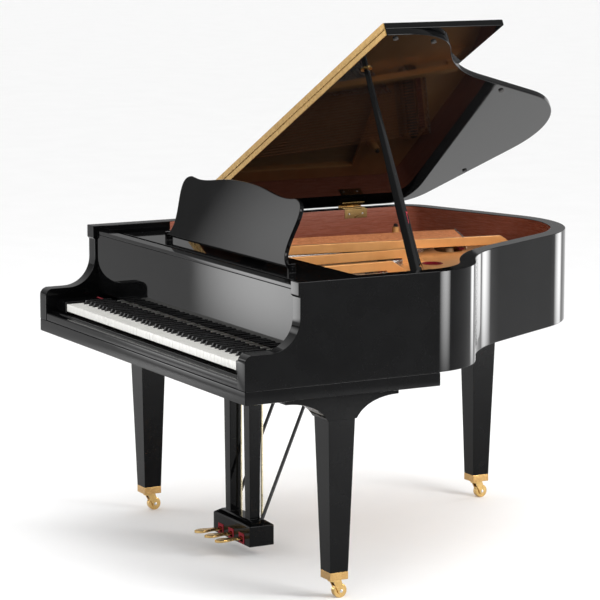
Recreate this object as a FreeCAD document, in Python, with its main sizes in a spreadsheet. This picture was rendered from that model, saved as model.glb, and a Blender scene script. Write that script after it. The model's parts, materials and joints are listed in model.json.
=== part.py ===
import FreeCAD, Part
import math
import os
import re
from types import SimpleNamespace

from FreeCAD import Placement, Rotation, Vector

# Grand piano with its lid open on the long prop.
# +X is the treble side, +Y points to the tail, +Z is up. The origin is on the floor under the
# middle of the case. Depths are given from the front of the keybed and moved back by half the length.

SIZES = {
    # Case outline
    "case_width": 1490,
    "case_length": 1610,
    "straight_side": 640,
    "bend_radius": 250,
    "bend_angle": 62,
    "waist_radius": 565,
    "side_angle": 28,
    "tail_radius": 400,
    "tail_angle": 108,
    "corner_radius": 130,
    "rim_wall": 50,
    "rim_bottom": 675,
    "rim_height": 305,
    "fit": 0.3,
    # Arms
    "arm_front": 175,
    "arm_lip": 40,
    "arm_recess": 6,
    "arm_height": 105,
    "cove_radius": 95,
    "nose_radius": 26,
    # Keybed and keyslip
    "keybed_depth": 656,
    "keybed_thickness": 41,
    "keyslip_height": 25,
    "keyslip_depth": 34,
    "keyslip_step": 6,
    # Keys
    "key_block_width": 84,
    "key_gap": 1,
    "key_front": 40,
    "key_rise": 39,
    "key_depth": 24,
    "key_length": 390,
    "head_length": 50,
    "white_length": 150,
    "black_width": 10,
    "black_rise": 12,
    "black_slope": 7,
    "black_side_gap": 1.5,
    "balance_depth": 225,
    "balance_width": 20,
    "balance_gap": 0.6,
    "key_block_rise": 6,
    "front_rail_setback": 10,
    "front_rail_depth": 60,
    "front_rail_drop": 16,
    "back_rail_depth": 40,
    "frame_end_width": 40,
    "frame_end_height": 20,
    # Action
    "action_drop": 98,
    "action_rail_height": 17,
    "action_rail_depth": 20,
    "action_rail_back": 290,
    "bracket_width": 12,
    "bracket_length": 170,
    "shank_length": 93,
    "shank_size": 5,
    "hammer_width": 8,
    "hammer_depth": 25,
    "hammer_height": 48,
    # Belly
    "beam_height": 65,
    "beam_width": 70,
    "belly_front": 525,
    "belly_rail_depth": 35,
    "inner_rim_width": 55,
    "plate_gap": 20,
    "soundboard_thickness": 10,
    "rib_height": 18,
    "rib_width": 22,
    "rib_spacing": 150,
    "plate_thickness": 12,
    "plate_front": 240,
    "plate_flange": 44,
    "plate_edge": 100,
    "strut_width": 16,
    "strut_height": 30,
    "strut_lift": 17,
    "strut_foot": 22,
    "strut_ramp": 70,
    "plate_hole_radius": 32,
    "plate_hole_setback": 195,
    "pin_block_height": 48,
    "pin_block_depth": 188,
    # Strings
    "agraffe_depth": 430,
    "agraffe_width": 12,
    "string_drop": 87,
    "string_rise": 13,
    "wound_rise": 19,
    "plain_radius": 0.6,
    "wound_radius": 1.6,
    "unison_spacing": 4,
    "string_margin": 21,
    "bass_break": 50,
    "treble_break": 30,
    "shortest_string": 54,
    "scale_setback": 910,
    "string_tail": 60,
    "bridge_width": 30,
    "bass_bridge_inset": 255,
    "bass_bridge_run": 250,
    "bass_bridge_setback": 115,
    "bass_bridge_slant": 110,
    "pin_radius": 3,
    "pin_rise": 25,
    "pin_row_front": 270,
    "pin_row_spacing": 50,
    "damper_front": 480,
    "damper_length": 35,
    "damper_width": 9,
    "damper_height": 14,
    "damper_wire_radius": 1,
    "damper_wire_length": 80,
    # Fallboard
    "fallboard_thickness": 18,
    "fallboard_height": 194,
    "fallboard_pivot_depth": 205,
    "fallboard_pivot_rise": 95,
    "fallboard_rail": 10,
    "fallboard_drop": 12,
    "lip_depth": 40,
    "lip_thickness": 12,
    "pivot_radius": 5,
    "pivot_play": 0.05,
    "pivot_length": 14,
    "side_gap": 2,
    # Music desk
    "rail_drop": 54,
    "rail_thickness": 14,
    "rail_width": 134,
    "rail_length": 230,
    "tray_inset": 45,
    "tray_front": 262,
    "tray_depth": 213,
    "tray_thickness": 16,
    "desk_inset": 235,
    "desk_height": 222,
    "desk_dip": 22,
    "desk_thickness": 14,
    "desk_lean": 18,
    "desk_depth": 325,
    "desk_lift": 16,
    "desk_pin_radius": 4,
    "desk_lug": 12,
    "desk_strut_half": 80,
    "desk_strut_length": 140,
    "desk_strut_thickness": 8,
    "desk_strut_height": 120,
    # Lyre and pedals
    "lyre_depth": 375,
    "pillar_top": 44,
    "pillar_foot": 35,
    "pillar_spread": 68,
    "lyre_block_half": 100,
    "lyre_block_height": 30,
    "box_half": 127,
    "box_front": 334,
    "box_depth": 87,
    "box_base": 40,
    "box_height": 65,
    "box_crown": 13,
    "box_bevel": 20,
    "box_wall": 6,
    "pedal_spacing": 72,
    "pedal_reach": 95,
    "pedal_tip_width": 32,
    "pedal_neck_width": 17,
    "pedal_thickness": 9,
    "pedal_level": 60,
    "pedal_travel": 8,
    "axle_radius": 4,
    "rod_radius": 4,
    "rod_back": 73,
    "rod_headroom": 7,
    "brace_radius": 6,
    "brace_spread": 95,
    "brace_back": 617,
    # Legs and casters
    "leg_inset": 100,
    "leg_depth": 350,
    "tail_leg_inset": 473,
    "tail_leg_setback": 181,
    "leg_top_size": 90,
    "leg_foot_size": 61,
    "leg_foot_level": 85,
    "leg_block_height": 82,
    "leg_block_lip": 4,
    "leg_block_reach": 192,
    "tail_block_reach": 150,
    "leg_block_end": 21,
    "ferrule_height": 24,
    "wheel_radius": 22,
    "wheel_width": 20,
    "caster_trail": 16,
    "fork_plate": 8,
    "fork_cheek": 5,
    "fork_gap": 0.5,
    "cheek_top": 15,
    "cheek_radius": 11,
    "stem_radius": 6,
    "stem_length": 16,
    # Lid and prop
    "lid_thickness": 20,
    "lid_gap": 5,
    "lid_open": 27.5,
    "lid_hinge_inset": 6,
    "flap_line": 561,
    "flap_depth": 420,
    "leaf_thickness": 3,
    "knuckle_radius": 2.6,
    "knuckle_count": 13,
    "hinge_pin_radius": 1.2,
    "butt_length": 90,
    "butt_width": 32,
    "butt_leaf": 1.6,
    "butt_front": 640,
    "butt_setback": 470,
    "butt_radius": 2.2,
    "prop_inset": 76,
    "prop_setback": 20,
    "prop_drop": 25,
    "prop_heading": 40,
    "prop_top_width": 20,
    "prop_base_width": 46,
    "prop_thickness": 22,
    "prop_tip_thickness": 12,
    "prop_pin_radius": 4,
    "half_prop_length": 166,
    "half_prop_width": 16,
    "half_prop_start": 34,
    "cup_radius": 18,
    "cup_thickness": 3,
    "button_radius": 8,
}

WHITE_COUNT = 52
# Sizes that follow others, as formulas of the names above.
LINKS = {
    "rim_top": "rim_bottom + rim_height",
    "string_level": "rim_top - string_drop",
    "plate_base": "string_level - string_rise - plate_thickness",
    "soundboard_base": "plate_base - plate_gap - soundboard_thickness",
    "pin_top": "string_level + pin_rise",
    "action_rail_base": "string_level - action_drop",
    "key_base": "rim_bottom + key_rise",
    "key_pitch": f"(case_width - 2 * rim_wall - 2 * key_block_width) / {WHITE_COUNT}",
    "string_span": f"{WHITE_COUNT} * key_pitch - 2 * string_margin",
    "scale_length": "case_length - scale_setback",
    "bass_bridge_left": "case_width / 2 - bass_bridge_inset",
    "bass_bridge_right": "bass_bridge_left - bass_bridge_run",
    "fallboard_pivot_level": "rim_bottom + fallboard_pivot_rise",
    "rail_level": "rim_top - rail_drop",
    "tray_half": "case_width / 2 - rim_wall - tray_inset",
    "desk_half": "tray_half - desk_inset",
    "leg_side": "case_width / 2 - leg_inset",
    "tail_leg_side": "tail_leg_inset - case_width / 2",
    "tail_leg_depth": "case_length - tail_leg_setback",
    "beam_spacing": "case_width / 5",
    "butt_rear": "case_length - butt_setback",
    "prop_side": "case_width / 2 - prop_inset",
    "prop_depth": "straight_side - prop_setback",
    "prop_level": "rim_top - prop_drop",
    "prop_shoulder": "half_prop_start + half_prop_length + half_prop_width",
}

WHITE_NAMES = ("a", "b", "c", "d", "e", "f", "g")
# Sideways shift of each black key from the joint of the white keys below and above it.
BLACK_SHIFT = {"a": 3.5, "c": -3, "d": 3, "f": -3.5, "g": 0}
NOTE_COUNT = 88
BASS_NOTES = 20
TREBLE_BREAKS = (40, 56, 72)
PLATE_HOLE_NOTES = (44, 62)
BRIDGE_CURVE = 1.35
BRIDGE_STEP = 6
DAMPED_NOTES = 69
UNISON = 3

doc = FreeCAD.newDocument("grand_piano")
sheet = doc.addObject("Spreadsheet::Sheet", "Sizes")
cells = {alias: str(value) for alias, value in SIZES.items()}
cells.update({alias: "=" + formula for alias, formula in LINKS.items()})
for row, alias in enumerate(cells, 1):
    sheet.set(f"A{row}", alias)
    sheet.setAlias(f"B{row}", alias)
for row, content in enumerate(cells.values(), 1):
    sheet.set(f"B{row}", content)
doc.recompute()

S = SimpleNamespace(**{alias: float(sheet.get(alias)) for alias in cells})
HALF = S.case_width / 2
FRONT = -S.case_length / 2
INSIDE = HALF - S.rim_wall
nodes = []


# Helpers

def bind(obj, prop, text):
    """Bind a property to a formula of sheet names."""
    obj.setExpression(prop, re.sub(r"[a-z]\w*", lambda found: "Sizes." + found.group(0), text))


def back(text):
    """Formula of a depth, measured from the front of the keybed."""
    return f"{text} - case_length / 2"


def keep(obj, label):
    """Make an object one of the named pieces."""
    obj.Label = label
    nodes.append(obj)
    return obj


def block(name, x, y, z):
    """Box between pairs of formulas. Depths count from the front of the keybed."""
    obj = doc.addObject("Part::Box", name)
    spans = (("Length", "x", x), ("Width", "y", [back(end) for end in y]), ("Height", "z", z))
    for prop, axis, (low, high) in spans:
        bind(obj, prop, f"({high}) - ({low})")
        bind(obj, f"Placement.Base.{axis}", low)
    return obj


def pad(name, plane, edges, low, length):
    """Body with one sketch, padded along its plane's normal from a level."""
    body = doc.addObject("PartDesign::Body", name)
    sketch = body.newObject("Sketcher::SketchObject", name + "_outline")
    support = next(item for item in body.Origin.OriginFeatures if item.Role == plane)
    sketch.AttachmentSupport = (support, [""])
    sketch.MapMode = "FlatFace"
    bind(sketch, "AttachmentOffset.Base.z", low)
    sketch.addGeometry(edges)
    feature = body.newObject("PartDesign::Pad", name + "_pad")
    feature.Profile = sketch
    bind(feature, "Length", length)
    return body


def cut(name, base, tools):
    tool = tools[0]
    if len(tools) > 1:
        tool = fuse(name + "_tools", tools)
    obj = doc.addObject("Part::Cut", name)
    obj.Base = base
    obj.Tool = tool
    return obj


def fuse(name, shapes):
    obj = doc.addObject("Part::MultiFuse", name)
    obj.Shapes = shapes
    return obj


def group(name, shapes):
    obj = doc.addObject("Part::Compound", name)
    obj.Links = shapes
    return obj


def feature(name, shape):
    obj = doc.addObject("Part::Feature", name)
    obj.Shape = shape
    return obj


def segments(points):
    """Closed loop of straight edges for a sketch."""
    corners = [Vector(x, y, 0) for x, y in points]
    return [Part.LineSegment(a, b) for a, b in zip(corners, corners[1:] + corners[:1])]


def prism(points, low, high):
    """Solid from a plan of (x, depth) points between two levels."""
    corners = [Vector(x, FRONT + y, low) for x, y in points]
    face = Part.Face(Part.makePolygon(corners + corners[:1]))
    return face.extrude(Vector(0, 0, high - low))


def solid_box(x, y, z):
    """Box solid between pairs of values, depths from the front of the keybed."""
    spans = [high - low for low, high in (x, y, z)]
    return Part.makeBox(*spans, Vector(x[0], FRONT + y[0], z[0]))


def upright(radius, x, y, low, high):
    return Part.makeCylinder(radius, high - low, Vector(x, FRONT + y, low))


def crosswise(radius, low, high, y, z):
    """Cylinder along X."""
    return Part.makeCylinder(radius, high - low, Vector(low, FRONT + y, z), Vector(1, 0, 0))


# Case outline

def plan_runs():
    """Straight lengths of the bent side and the tail that close the outline."""
    bend, side, tail = (math.radians(angle) for angle in (S.bend_angle, S.side_angle, S.tail_angle))
    waist_y = S.straight_side + S.bend_radius * math.sin(bend)
    waist_y += S.waist_radius * (math.sin(bend) - math.sin(side))
    side_run = (S.case_length - S.tail_radius * (1 - math.sin(side)) - waist_y) / math.cos(side)
    x = HALF + S.bend_radius * (math.cos(bend) - 1)
    x -= S.waist_radius * (math.cos(side) - math.cos(bend))
    x -= side_run * math.sin(side)
    x += S.tail_radius * (math.cos(tail) - math.cos(side))
    tail_run = (x + HALF - S.corner_radius * (1 + math.cos(tail))) / math.sin(tail)
    return side_run, tail_run


def tail_depth(x):
    """Depth of the tail's outer face, on its straight run, at a place across the case."""
    tail = math.radians(S.tail_angle)
    run_end = S.corner_radius * (1 + math.cos(tail)) - HALF
    run_start = run_end + plan_runs()[1] * math.sin(tail)
    depth = S.case_length - S.tail_radius * (1 - math.sin(tail))
    return depth + (run_start - x) / math.tan(tail)


def plan_curve(inset, start):
    """Edges of the case outline from the treble side round the tail to the spine, moved inwards."""
    side_run, tail_run = plan_runs()
    steps = (
        (None, S.straight_side - start),
        (S.bend_radius, S.bend_angle),
        (-S.waist_radius, S.side_angle),
        (None, side_run),
        (S.tail_radius, S.tail_angle),
        (None, tail_run),
        (S.corner_radius, 180),
    )
    point = Vector(HALF - inset, FRONT + start, 0)
    heading = 0.0
    edges = []
    for radius, amount in steps:
        if radius is None:
            turn = math.radians(heading)
            end = point + Vector(-math.sin(turn), math.cos(turn), 0) * amount
            edges.append(Part.LineSegment(point, end))
        else:
            ends = [point]
            for angle in ((heading + amount) / 2, amount):
                ends.append(point + arc_move(radius - inset, heading, angle))
            edges.append(Part.Arc(*ends))
            heading = amount
            end = ends[2]
        point = end
    edges.append(Part.LineSegment(point, Vector(inset - HALF, FRONT + start, 0)))
    return edges


def arc_move(radius, first, last):
    """Move along an arc between two headings. A negative radius bends the other way."""
    first, last = math.radians(first), math.radians(last)
    return Vector(math.cos(last) - math.cos(first), math.sin(last) - math.sin(first), 0) * radius


def closing_line(start, left, right):
    return Part.LineSegment(Vector(left, FRONT + start, 0), Vector(right, FRONT + start, 0))


def plan_area(inset, start):
    """Closed outline of everything inside the case behind a depth."""
    return plan_curve(inset, start) + [closing_line(start, inset - HALF, HALF - inset)]


def plan_band(outer, inner, start):
    """Closed outline of a band that follows the case."""
    edges = plan_curve(outer, start) + plan_curve(inner, start)
    edges.append(closing_line(start, outer - HALF, inner - HALF))
    edges.append(closing_line(start, HALF - inner, HALF - outer))
    return edges


def plan_solid(inset, start, low, high):
    wire = Part.Wire([edge.toShape() for edge in plan_area(inset, start)])
    wire.translate(Vector(0, 0, low))
    return Part.Face(wire).extrude(Vector(0, 0, high - low))


# Rim, keybed and their fittings

def arm_profile():
    """Side view of the space cut away above and in front of the arms."""
    step = S.rim_top - S.arm_lip
    flat = S.rim_bottom + S.arm_height
    recess = S.arm_front + S.arm_recess
    above = S.rim_top + S.rim_wall
    cove, nose = S.cove_radius, S.nose_radius
    cove_mid = 1 - math.sqrt(0.5)
    points = {
        "outside": (-S.rim_wall, above),
        "top": (S.arm_front, above),
        "lip": (S.arm_front, step),
        "recess": (recess, step - S.arm_recess),
        "cove_top": (recess, flat + cove),
        "cove_mid": (recess - cove * cove_mid, flat + cove * cove_mid),
        "cove_end": (recess - cove, flat),
        "nose_top": (nose, flat),
        "nose_mid": (nose * cove_mid, flat - nose * cove_mid),
        "nose_end": (0, flat - nose),
        "low": (-S.rim_wall, flat - nose),
    }
    spots = {name: Vector(FRONT + y, z, 0) for name, (y, z) in points.items()}
    edges = [Part.LineSegment(spots["cove_end"], spots["nose_top"])]
    edges.append(Part.Arc(spots["cove_top"], spots["cove_mid"], spots["cove_end"]))
    edges.append(Part.Arc(spots["nose_top"], spots["nose_mid"], spots["nose_end"]))
    chain = ("nose_end", "low", "outside", "top", "lip", "recess", "cove_top")
    edges += [Part.LineSegment(spots[a], spots[b]) for a, b in zip(chain, chain[1:])]
    return edges


def make_rim():
    blank = pad("rim_blank", "XY_Plane", plan_band(0, S.rim_wall, 0), "rim_bottom", "rim_height")
    opening = pad("arm_cut", "YZ_Plane", arm_profile(), "-case_width", "2 * case_width")
    bores = doc.addObject("Part::Cylinder", "fallboard_bores")
    bind(bores, "Radius", "pivot_radius + pivot_play")
    bind(bores, "Height", "case_width - 2 * rim_wall + 2 * pivot_length + 2 * fit")
    bores.Placement.Rotation = Rotation(Vector(0, 1, 0), 90)
    bind(bores, "Placement.Base.x", "-case_width / 2 + rim_wall - pivot_length - fit")
    bind(bores, "Placement.Base.y", back("fallboard_pivot_depth"))
    bind(bores, "Placement.Base.z", "fallboard_pivot_level")
    keep(cut("rim_cut", blank, [opening, bores]), "rim")


def make_keybed():
    keybed = block(
        "keybed_board",
        ("-case_width / 2", "case_width / 2"),
        ("0", "keybed_depth"),
        ("rim_bottom - keybed_thickness", "rim_bottom"),
    )
    keep(keybed, "keybed")
    base, top = S.rim_bottom, S.rim_bottom + S.keyslip_height
    low, high = S.side_gap, S.side_gap + S.keyslip_depth
    half_step = S.keyslip_step / 2
    profile = (
        (low, base),
        (high, base),
        (high, top + S.keyslip_step),
        (high - 2 * S.keyslip_step, top + S.keyslip_step),
        (high - 2 * S.keyslip_step - half_step, top),
        (low + half_step, top),
        (low, top - half_step),
    )
    edges = segments([(FRONT + y, z) for y, z in profile])
    start = "-case_width / 2 + rim_wall + fit"
    keep(pad("keyslip_moulding", "YZ_Plane", edges, start, "case_width - 2 * rim_wall - 2 * fit"), "keyslip")
    inner = f"{WHITE_COUNT} * key_pitch / 2 + side_gap"
    outer = "case_width / 2 - rim_wall - fit"
    depth = ("2 * side_gap + keyslip_depth", "fallboard_pivot_depth")
    height = ("rim_bottom", "key_base + key_depth + key_block_rise")
    treble = block("key_block_treble", (inner, outer), depth, height)
    bass = block("key_block_bass", (f"-({outer})", f"-({inner})"), depth, height)
    keep(group("key_block_pair", [treble, bass]), "key_blocks")


# Keys

def white_name(index):
    return WHITE_NAMES[index % len(WHITE_NAMES)]


def joint_x(index):
    """Place of the joint before a white key."""
    return (index - WHITE_COUNT / 2) * S.key_pitch


def black_centre(index):
    """Middle of the black key above a white key, or None."""
    name = white_name(index)
    if name not in BLACK_SHIFT or not 0 <= index < WHITE_COUNT - 1:
        return None
    return joint_x(index + 1) + BLACK_SHIFT[name]


def white_key(index):
    left = joint_x(index) + S.key_gap / 2
    right = joint_x(index + 1) - S.key_gap / 2
    clear = S.black_width / 2 + S.black_side_gap
    below, above = black_centre(index - 1), black_centre(index)
    tail_left = left if below is None else max(left, below + clear)
    tail_right = right if above is None else min(right, above - clear)
    front, notch = S.key_front, S.key_front + S.head_length - S.black_side_gap
    rear = front + S.key_length
    outline = [(left, front), (right, front)]
    if tail_right < right:
        outline += [(right, notch), (tail_right, notch)]
    outline += [(tail_right, rear), (tail_left, rear)]
    if tail_left > left:
        outline += [(tail_left, notch), (left, notch)]
    return prism(outline, S.key_base, S.key_base + S.key_depth)


def black_key(index):
    left = black_centre(index) - S.black_width / 2
    front = S.key_front + S.head_length
    cap_end = S.key_front + S.white_length
    top = S.key_base + S.key_depth
    profile = (
        (front, S.key_base),
        (S.key_front + S.key_length, S.key_base),
        (S.key_front + S.key_length, top),
        (cap_end, top),
        (cap_end, top + S.black_rise),
        (front + S.black_slope, top + S.black_rise),
        (front, top),
    )
    corners = [Vector(left, FRONT + y, z) for y, z in profile]
    face = Part.Face(Part.makePolygon(corners + corners[:1]))
    return face.extrude(Vector(S.black_width, 0, 0))


def make_keys():
    """All keys of one note name share a piece, so each note name can be pressed."""
    notes = {}
    for index in range(WHITE_COUNT):
        name = white_name(index)
        notes.setdefault("key_" + name, []).append(white_key(index))
        if black_centre(index) is not None:
            notes.setdefault(f"key_{name}_sharp", []).append(black_key(index))
    for name, solids in notes.items():
        keep(feature(name + "_set", Part.makeCompound(solids)), name)


def make_key_frame():
    half = f"{WHITE_COUNT} * key_pitch / 2 - key_gap"
    width = (f"-({half})", half)
    balance = "key_front + balance_depth"
    rear = "key_front + key_length"
    base = "rim_bottom"
    front = "key_front + front_rail_setback"
    rails = [
        block(
            "front_rail",
            width,
            (front, f"{front} + front_rail_depth"),
            (base, "key_base - front_rail_drop"),
        ),
        block(
            "balance_rail",
            width,
            (f"{balance} - balance_width / 2", f"{balance} + balance_width / 2"),
            (base, "key_base - balance_gap"),
        ),
        block("back_rail", width, (f"{rear} - back_rail_depth", rear), (base, "key_base - fit")),
    ]
    ends = (
        ("bass", f"-({half})", f"frame_end_width - ({half})"),
        ("treble", f"({half}) - frame_end_width", half),
    )
    for side, low, high in ends:
        height = (base, f"{base} + frame_end_height")
        rails.append(block(f"frame_end_{side}", (low, high), (front, rear), height))
    keep(fuse("key_frame_rails", rails), "key_frame")


def note_x(note):
    """Place of a note's strings at the agraffes, with gaps at the plate's struts."""
    gaps = S.bass_break + S.treble_break * len(TREBLE_BREAKS)
    pitch = (S.string_span - gaps) / (NOTE_COUNT - 1)
    x = (note - 1) * pitch - S.string_span / 2
    if note > BASS_NOTES:
        x += S.bass_break
    return x + S.treble_break * sum(note > last for last in TREBLE_BREAKS)


def make_action():
    rail_front = S.key_front + S.action_rail_back
    rail_back = rail_front + S.action_rail_depth
    rail_top = S.action_rail_base + S.action_rail_height
    inner = WHITE_COUNT * S.key_pitch / 2 + S.side_gap
    outer = inner + S.bracket_width
    rail = solid_box((-outer, outer), (rail_front, rail_back), (S.action_rail_base, rail_top))
    rest = rail_front - S.action_rail_depth
    for low, high in ((-outer, -inner), (inner, outer)):
        bracket = solid_box((low, high), (rest, rest + S.bracket_length), (S.rim_bottom, rail_top))
        rail = rail.fuse(bracket)
    solids = [rail.removeSplitter()]
    head_front = rail_back + S.shank_length
    shank_z = S.action_rail_base + S.action_rail_height / 2
    for note in range(1, NOTE_COUNT + 1):
        x = note_x(note)
        shank = solid_box(
            (x - S.shank_size / 2, x + S.shank_size / 2),
            (rail_back, head_front + S.hammer_depth / 2),
            (shank_z - S.shank_size / 2, shank_z + S.shank_size / 2),
        )
        head = solid_box(
            (x - S.hammer_width / 2, x + S.hammer_width / 2),
            (head_front, head_front + S.hammer_depth),
            (shank_z - S.shank_size, shank_z - S.shank_size + S.hammer_height),
        )
        solids.append(shank.fuse(head).removeSplitter())
    keep(feature("hammer_set", Part.makeCompound(solids)), "hammer_action")


# Soundboard, plate and strings

def make_inner_rim():
    edges = plan_band(S.rim_wall, S.rim_wall + S.inner_rim_width, S.belly_front + S.belly_rail_depth)
    low = "rim_bottom + beam_height"
    keep(pad("inner_rim_band", "XY_Plane", edges, low, f"soundboard_base - ({low})"), "inner_rim")


def make_beams():
    rear = S.belly_front + S.belly_rail_depth
    top = S.rim_bottom + S.beam_height
    inside = plan_solid(S.rim_wall, S.belly_front, S.rim_bottom, top)
    belly = solid_box((-INSIDE, INSIDE), (S.belly_front, rear), (S.rim_bottom, S.soundboard_base))
    beams = []
    for shift in (-S.beam_spacing, 0, S.beam_spacing):
        centre = S.tail_leg_side + shift
        span = (centre - S.beam_width / 2, centre + S.beam_width / 2)
        beam = solid_box(span, (rear - S.fit, S.case_length), (S.rim_bottom, top))
        beams.append(beam.common(inside))
    keep(feature("beam_frame", belly.multiFuse(beams).removeSplitter()), "case_beams")


def make_soundboard():
    top = S.soundboard_base + S.soundboard_thickness
    panel = plan_solid(S.rim_wall, S.belly_front, S.soundboard_base, top)
    rear = S.belly_front + S.belly_rail_depth
    inside = plan_solid(S.rim_wall + S.inner_rim_width + S.fit, rear + S.fit, S.rim_bottom, top)
    ribs = []
    depth = rear + S.rib_spacing / 2
    while depth < S.case_length - S.rib_spacing:
        rib = solid_box((-HALF, HALF), (depth, depth + S.rib_width), (S.soundboard_base - S.rib_height, top))
        ribs.append(rib.common(inside))
        depth += S.rib_spacing
    keep(feature("soundboard_panel", panel.multiFuse(ribs).removeSplitter()), "soundboard")


def bridge_depth(note):
    """Depth of the long bridge under a note's strings."""
    share = (NOTE_COUNT - note) / (NOTE_COUNT - BASS_NOTES - 1)
    return S.agraffe_depth + S.shortest_string + S.scale_length * share ** BRIDGE_CURVE


def bridge_line(shift):
    """Curve of the long bridge from the top note to the lowest plain note, moved back."""
    notes = range(NOTE_COUNT, BASS_NOTES, -BRIDGE_STEP)
    return [Vector(note_x(note), FRONT + bridge_depth(note) + shift, 0) for note in notes]


def spline(points):
    curve = Part.BSplineCurve()
    curve.interpolate(points)
    return curve


BASS_BACK = tail_depth(-S.bass_bridge_left) - S.bass_bridge_setback


def bass_end(note):
    """Place of a wound string on the bass bridge, as x and depth."""
    share = (note - 1) / (BASS_NOTES - 1)
    x = -S.bass_bridge_left + share * (S.bass_bridge_left - S.bass_bridge_right)
    return x, BASS_BACK - share * S.bass_bridge_slant


def ribbon(front, rear, low, high):
    """Solid between two splines, closed by straight ends."""
    edges = [
        spline(front).toShape(),
        Part.makeLine(front[-1], rear[-1]),
        spline(rear).toShape(),
        Part.makeLine(rear[0], front[0]),
    ]
    wire = Part.Wire(Part.__sortEdges__(edges))
    wire.translate(Vector(0, 0, low))
    return Part.Face(wire).extrude(Vector(0, 0, high - low))


def slot(first, last, half, low, high):
    """Bar with round ends between two places given as x and depth."""
    ends = [Vector(x, FRONT + y, low) for x, y in (first, last)]
    along = (ends[1] - ends[0]).normalize()
    across = Vector(-along.y, along.x, 0) * half
    edges = [
        Part.makeLine(ends[0] + across, ends[1] + across),
        Part.Arc(ends[1] + across, ends[1] + along * half, ends[1] - across).toShape(),
        Part.makeLine(ends[1] - across, ends[0] - across),
        Part.Arc(ends[0] - across, ends[0] - along * half, ends[0] + across).toShape(),
    ]
    return Part.Face(Part.Wire(edges)).extrude(Vector(0, 0, high - low))


def make_bridges():
    base = S.soundboard_base + S.soundboard_thickness
    half = S.bridge_width / 2
    plain_top = S.string_level - S.plain_radius - S.fit
    wound_top = S.string_level + S.wound_rise - S.wound_radius - S.fit
    long_bridge = ribbon(bridge_line(-half), bridge_line(half), base, plain_top)
    bass_bridge = slot(bass_end(1), bass_end(BASS_NOTES), half, base, wound_top)
    keep(feature("bridge_pair", Part.makeCompound([long_bridge, bass_bridge])), "bridges")


def plate_strut(start, end):
    """Bar over the strings between places given as x and depth, with a ramp behind its rear foot."""
    top = S.plate_base + S.plate_thickness
    along = Vector(end[0] - start[0], end[1] - start[1], 0)
    turn = math.degrees(math.atan2(along.y, along.x))
    half = S.strut_width / 2
    length = along.Length
    bar = Part.makeBox(length, S.strut_width, S.strut_height, Vector(0, -half, S.strut_lift))
    lift = S.strut_lift + S.fit
    for offset in (0, length - S.strut_foot):
        bar = bar.fuse(Part.makeBox(S.strut_foot, S.strut_width, lift, Vector(offset, -half, 0)))
    rear, height = length - S.strut_foot, S.strut_lift + S.strut_height
    side = ((rear, -S.fit), (rear, height), (length, height), (length + S.strut_ramp, -S.fit))
    corners = [Vector(x, -half, z) for x, z in side]
    ramp = Part.Face(Part.makePolygon(corners + corners[:1])).extrude(Vector(0, S.strut_width, 0))
    bar = bar.fuse(ramp)
    bar.Placement = Placement(Vector(start[0], FRONT + start[1], top), Rotation(Vector(0, 0, 1), turn))
    return bar


def strut_lines():
    """Start and end of each strut, in the gaps between the string sections."""
    start = S.agraffe_depth + S.agraffe_width
    rear_gap = S.string_tail + S.strut_foot
    middle = (note_x(BASS_NOTES) + note_x(BASS_NOTES + 1)) / 2
    lowest_x, lowest_y = bass_end(BASS_NOTES)
    slope = (lowest_x - note_x(BASS_NOTES)) / (lowest_y - S.agraffe_depth)
    end = BASS_BACK + S.string_tail
    lines = [((middle, start), (middle + slope * (end - start), end))]
    for last in TREBLE_BREAKS:
        x = (note_x(last) + note_x(last + 1)) / 2
        lines.append(((x, start), (x, bridge_depth(last) + rear_gap)))
    return lines


def make_plate():
    low, top = S.plate_base, S.plate_base + S.plate_thickness
    margin = S.bridge_width / 2 + S.string_tail / 2
    web = plan_solid(S.rim_wall + S.fit, S.plate_front, low, top)
    skirt = plan_solid(S.rim_wall + S.fit, S.belly_front, S.soundboard_base + S.soundboard_thickness, top)
    skirt_start = S.belly_front - S.fit
    skirt = skirt.cut(plan_solid(S.rim_wall + S.plate_flange, skirt_start, S.rim_bottom, S.rim_top))
    open_front = FRONT + S.agraffe_depth + S.agraffe_width + S.strut_foot + S.fit
    curve = bridge_line(margin)
    left, right = S.plate_edge - HALF, curve[0].x + margin
    corners = [curve[-1], Vector(left, curve[-1].y, 0), Vector(left, open_front, 0)]
    corners += [Vector(right, open_front, 0), Vector(right, curve[0].y, 0), curve[0]]
    edges = [spline(curve).toShape()]
    edges += [Part.makeLine(a, b) for a, b in zip(corners, corners[1:])]
    wire = Part.Wire(Part.__sortEdges__(edges))
    wire.translate(Vector(0, 0, S.rim_bottom))
    window = Part.Face(wire).extrude(Vector(0, 0, S.rim_height))
    bass_window = slot(bass_end(1), bass_end(BASS_NOTES), margin, S.rim_bottom, S.rim_top)
    agraffe_top = S.string_level - S.plain_radius - S.fit
    agraffes = solid_box(
        (note_x(BASS_NOTES + 1) - S.bridge_width / 2, S.string_span / 2 + S.bridge_width / 2),
        (S.agraffe_depth - S.agraffe_width, S.agraffe_depth),
        (low, agraffe_top),
    )
    bass_agraffes = solid_box(
        (-S.string_span / 2 - S.bridge_width / 2, note_x(BASS_NOTES) + S.bridge_width / 2),
        (S.agraffe_depth - S.agraffe_width, S.agraffe_depth),
        (low, agraffe_top + S.wound_rise - S.wound_radius + S.plain_radius),
    )
    plate = web.multiFuse([skirt]).cut(window).cut(bass_window)
    for note in PLATE_HOLE_NOTES:
        depth = bridge_depth(note) + S.plate_hole_setback
        plate = plate.cut(upright(S.plate_hole_radius, note_x(note), depth, low - S.fit, top + S.fit))
    struts = [plate_strut(*line) for line in strut_lines()]
    plate = plate.multiFuse([agraffes, bass_agraffes] + struts).removeSplitter()
    keep(feature("plate_casting", plate), "plate")


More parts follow.
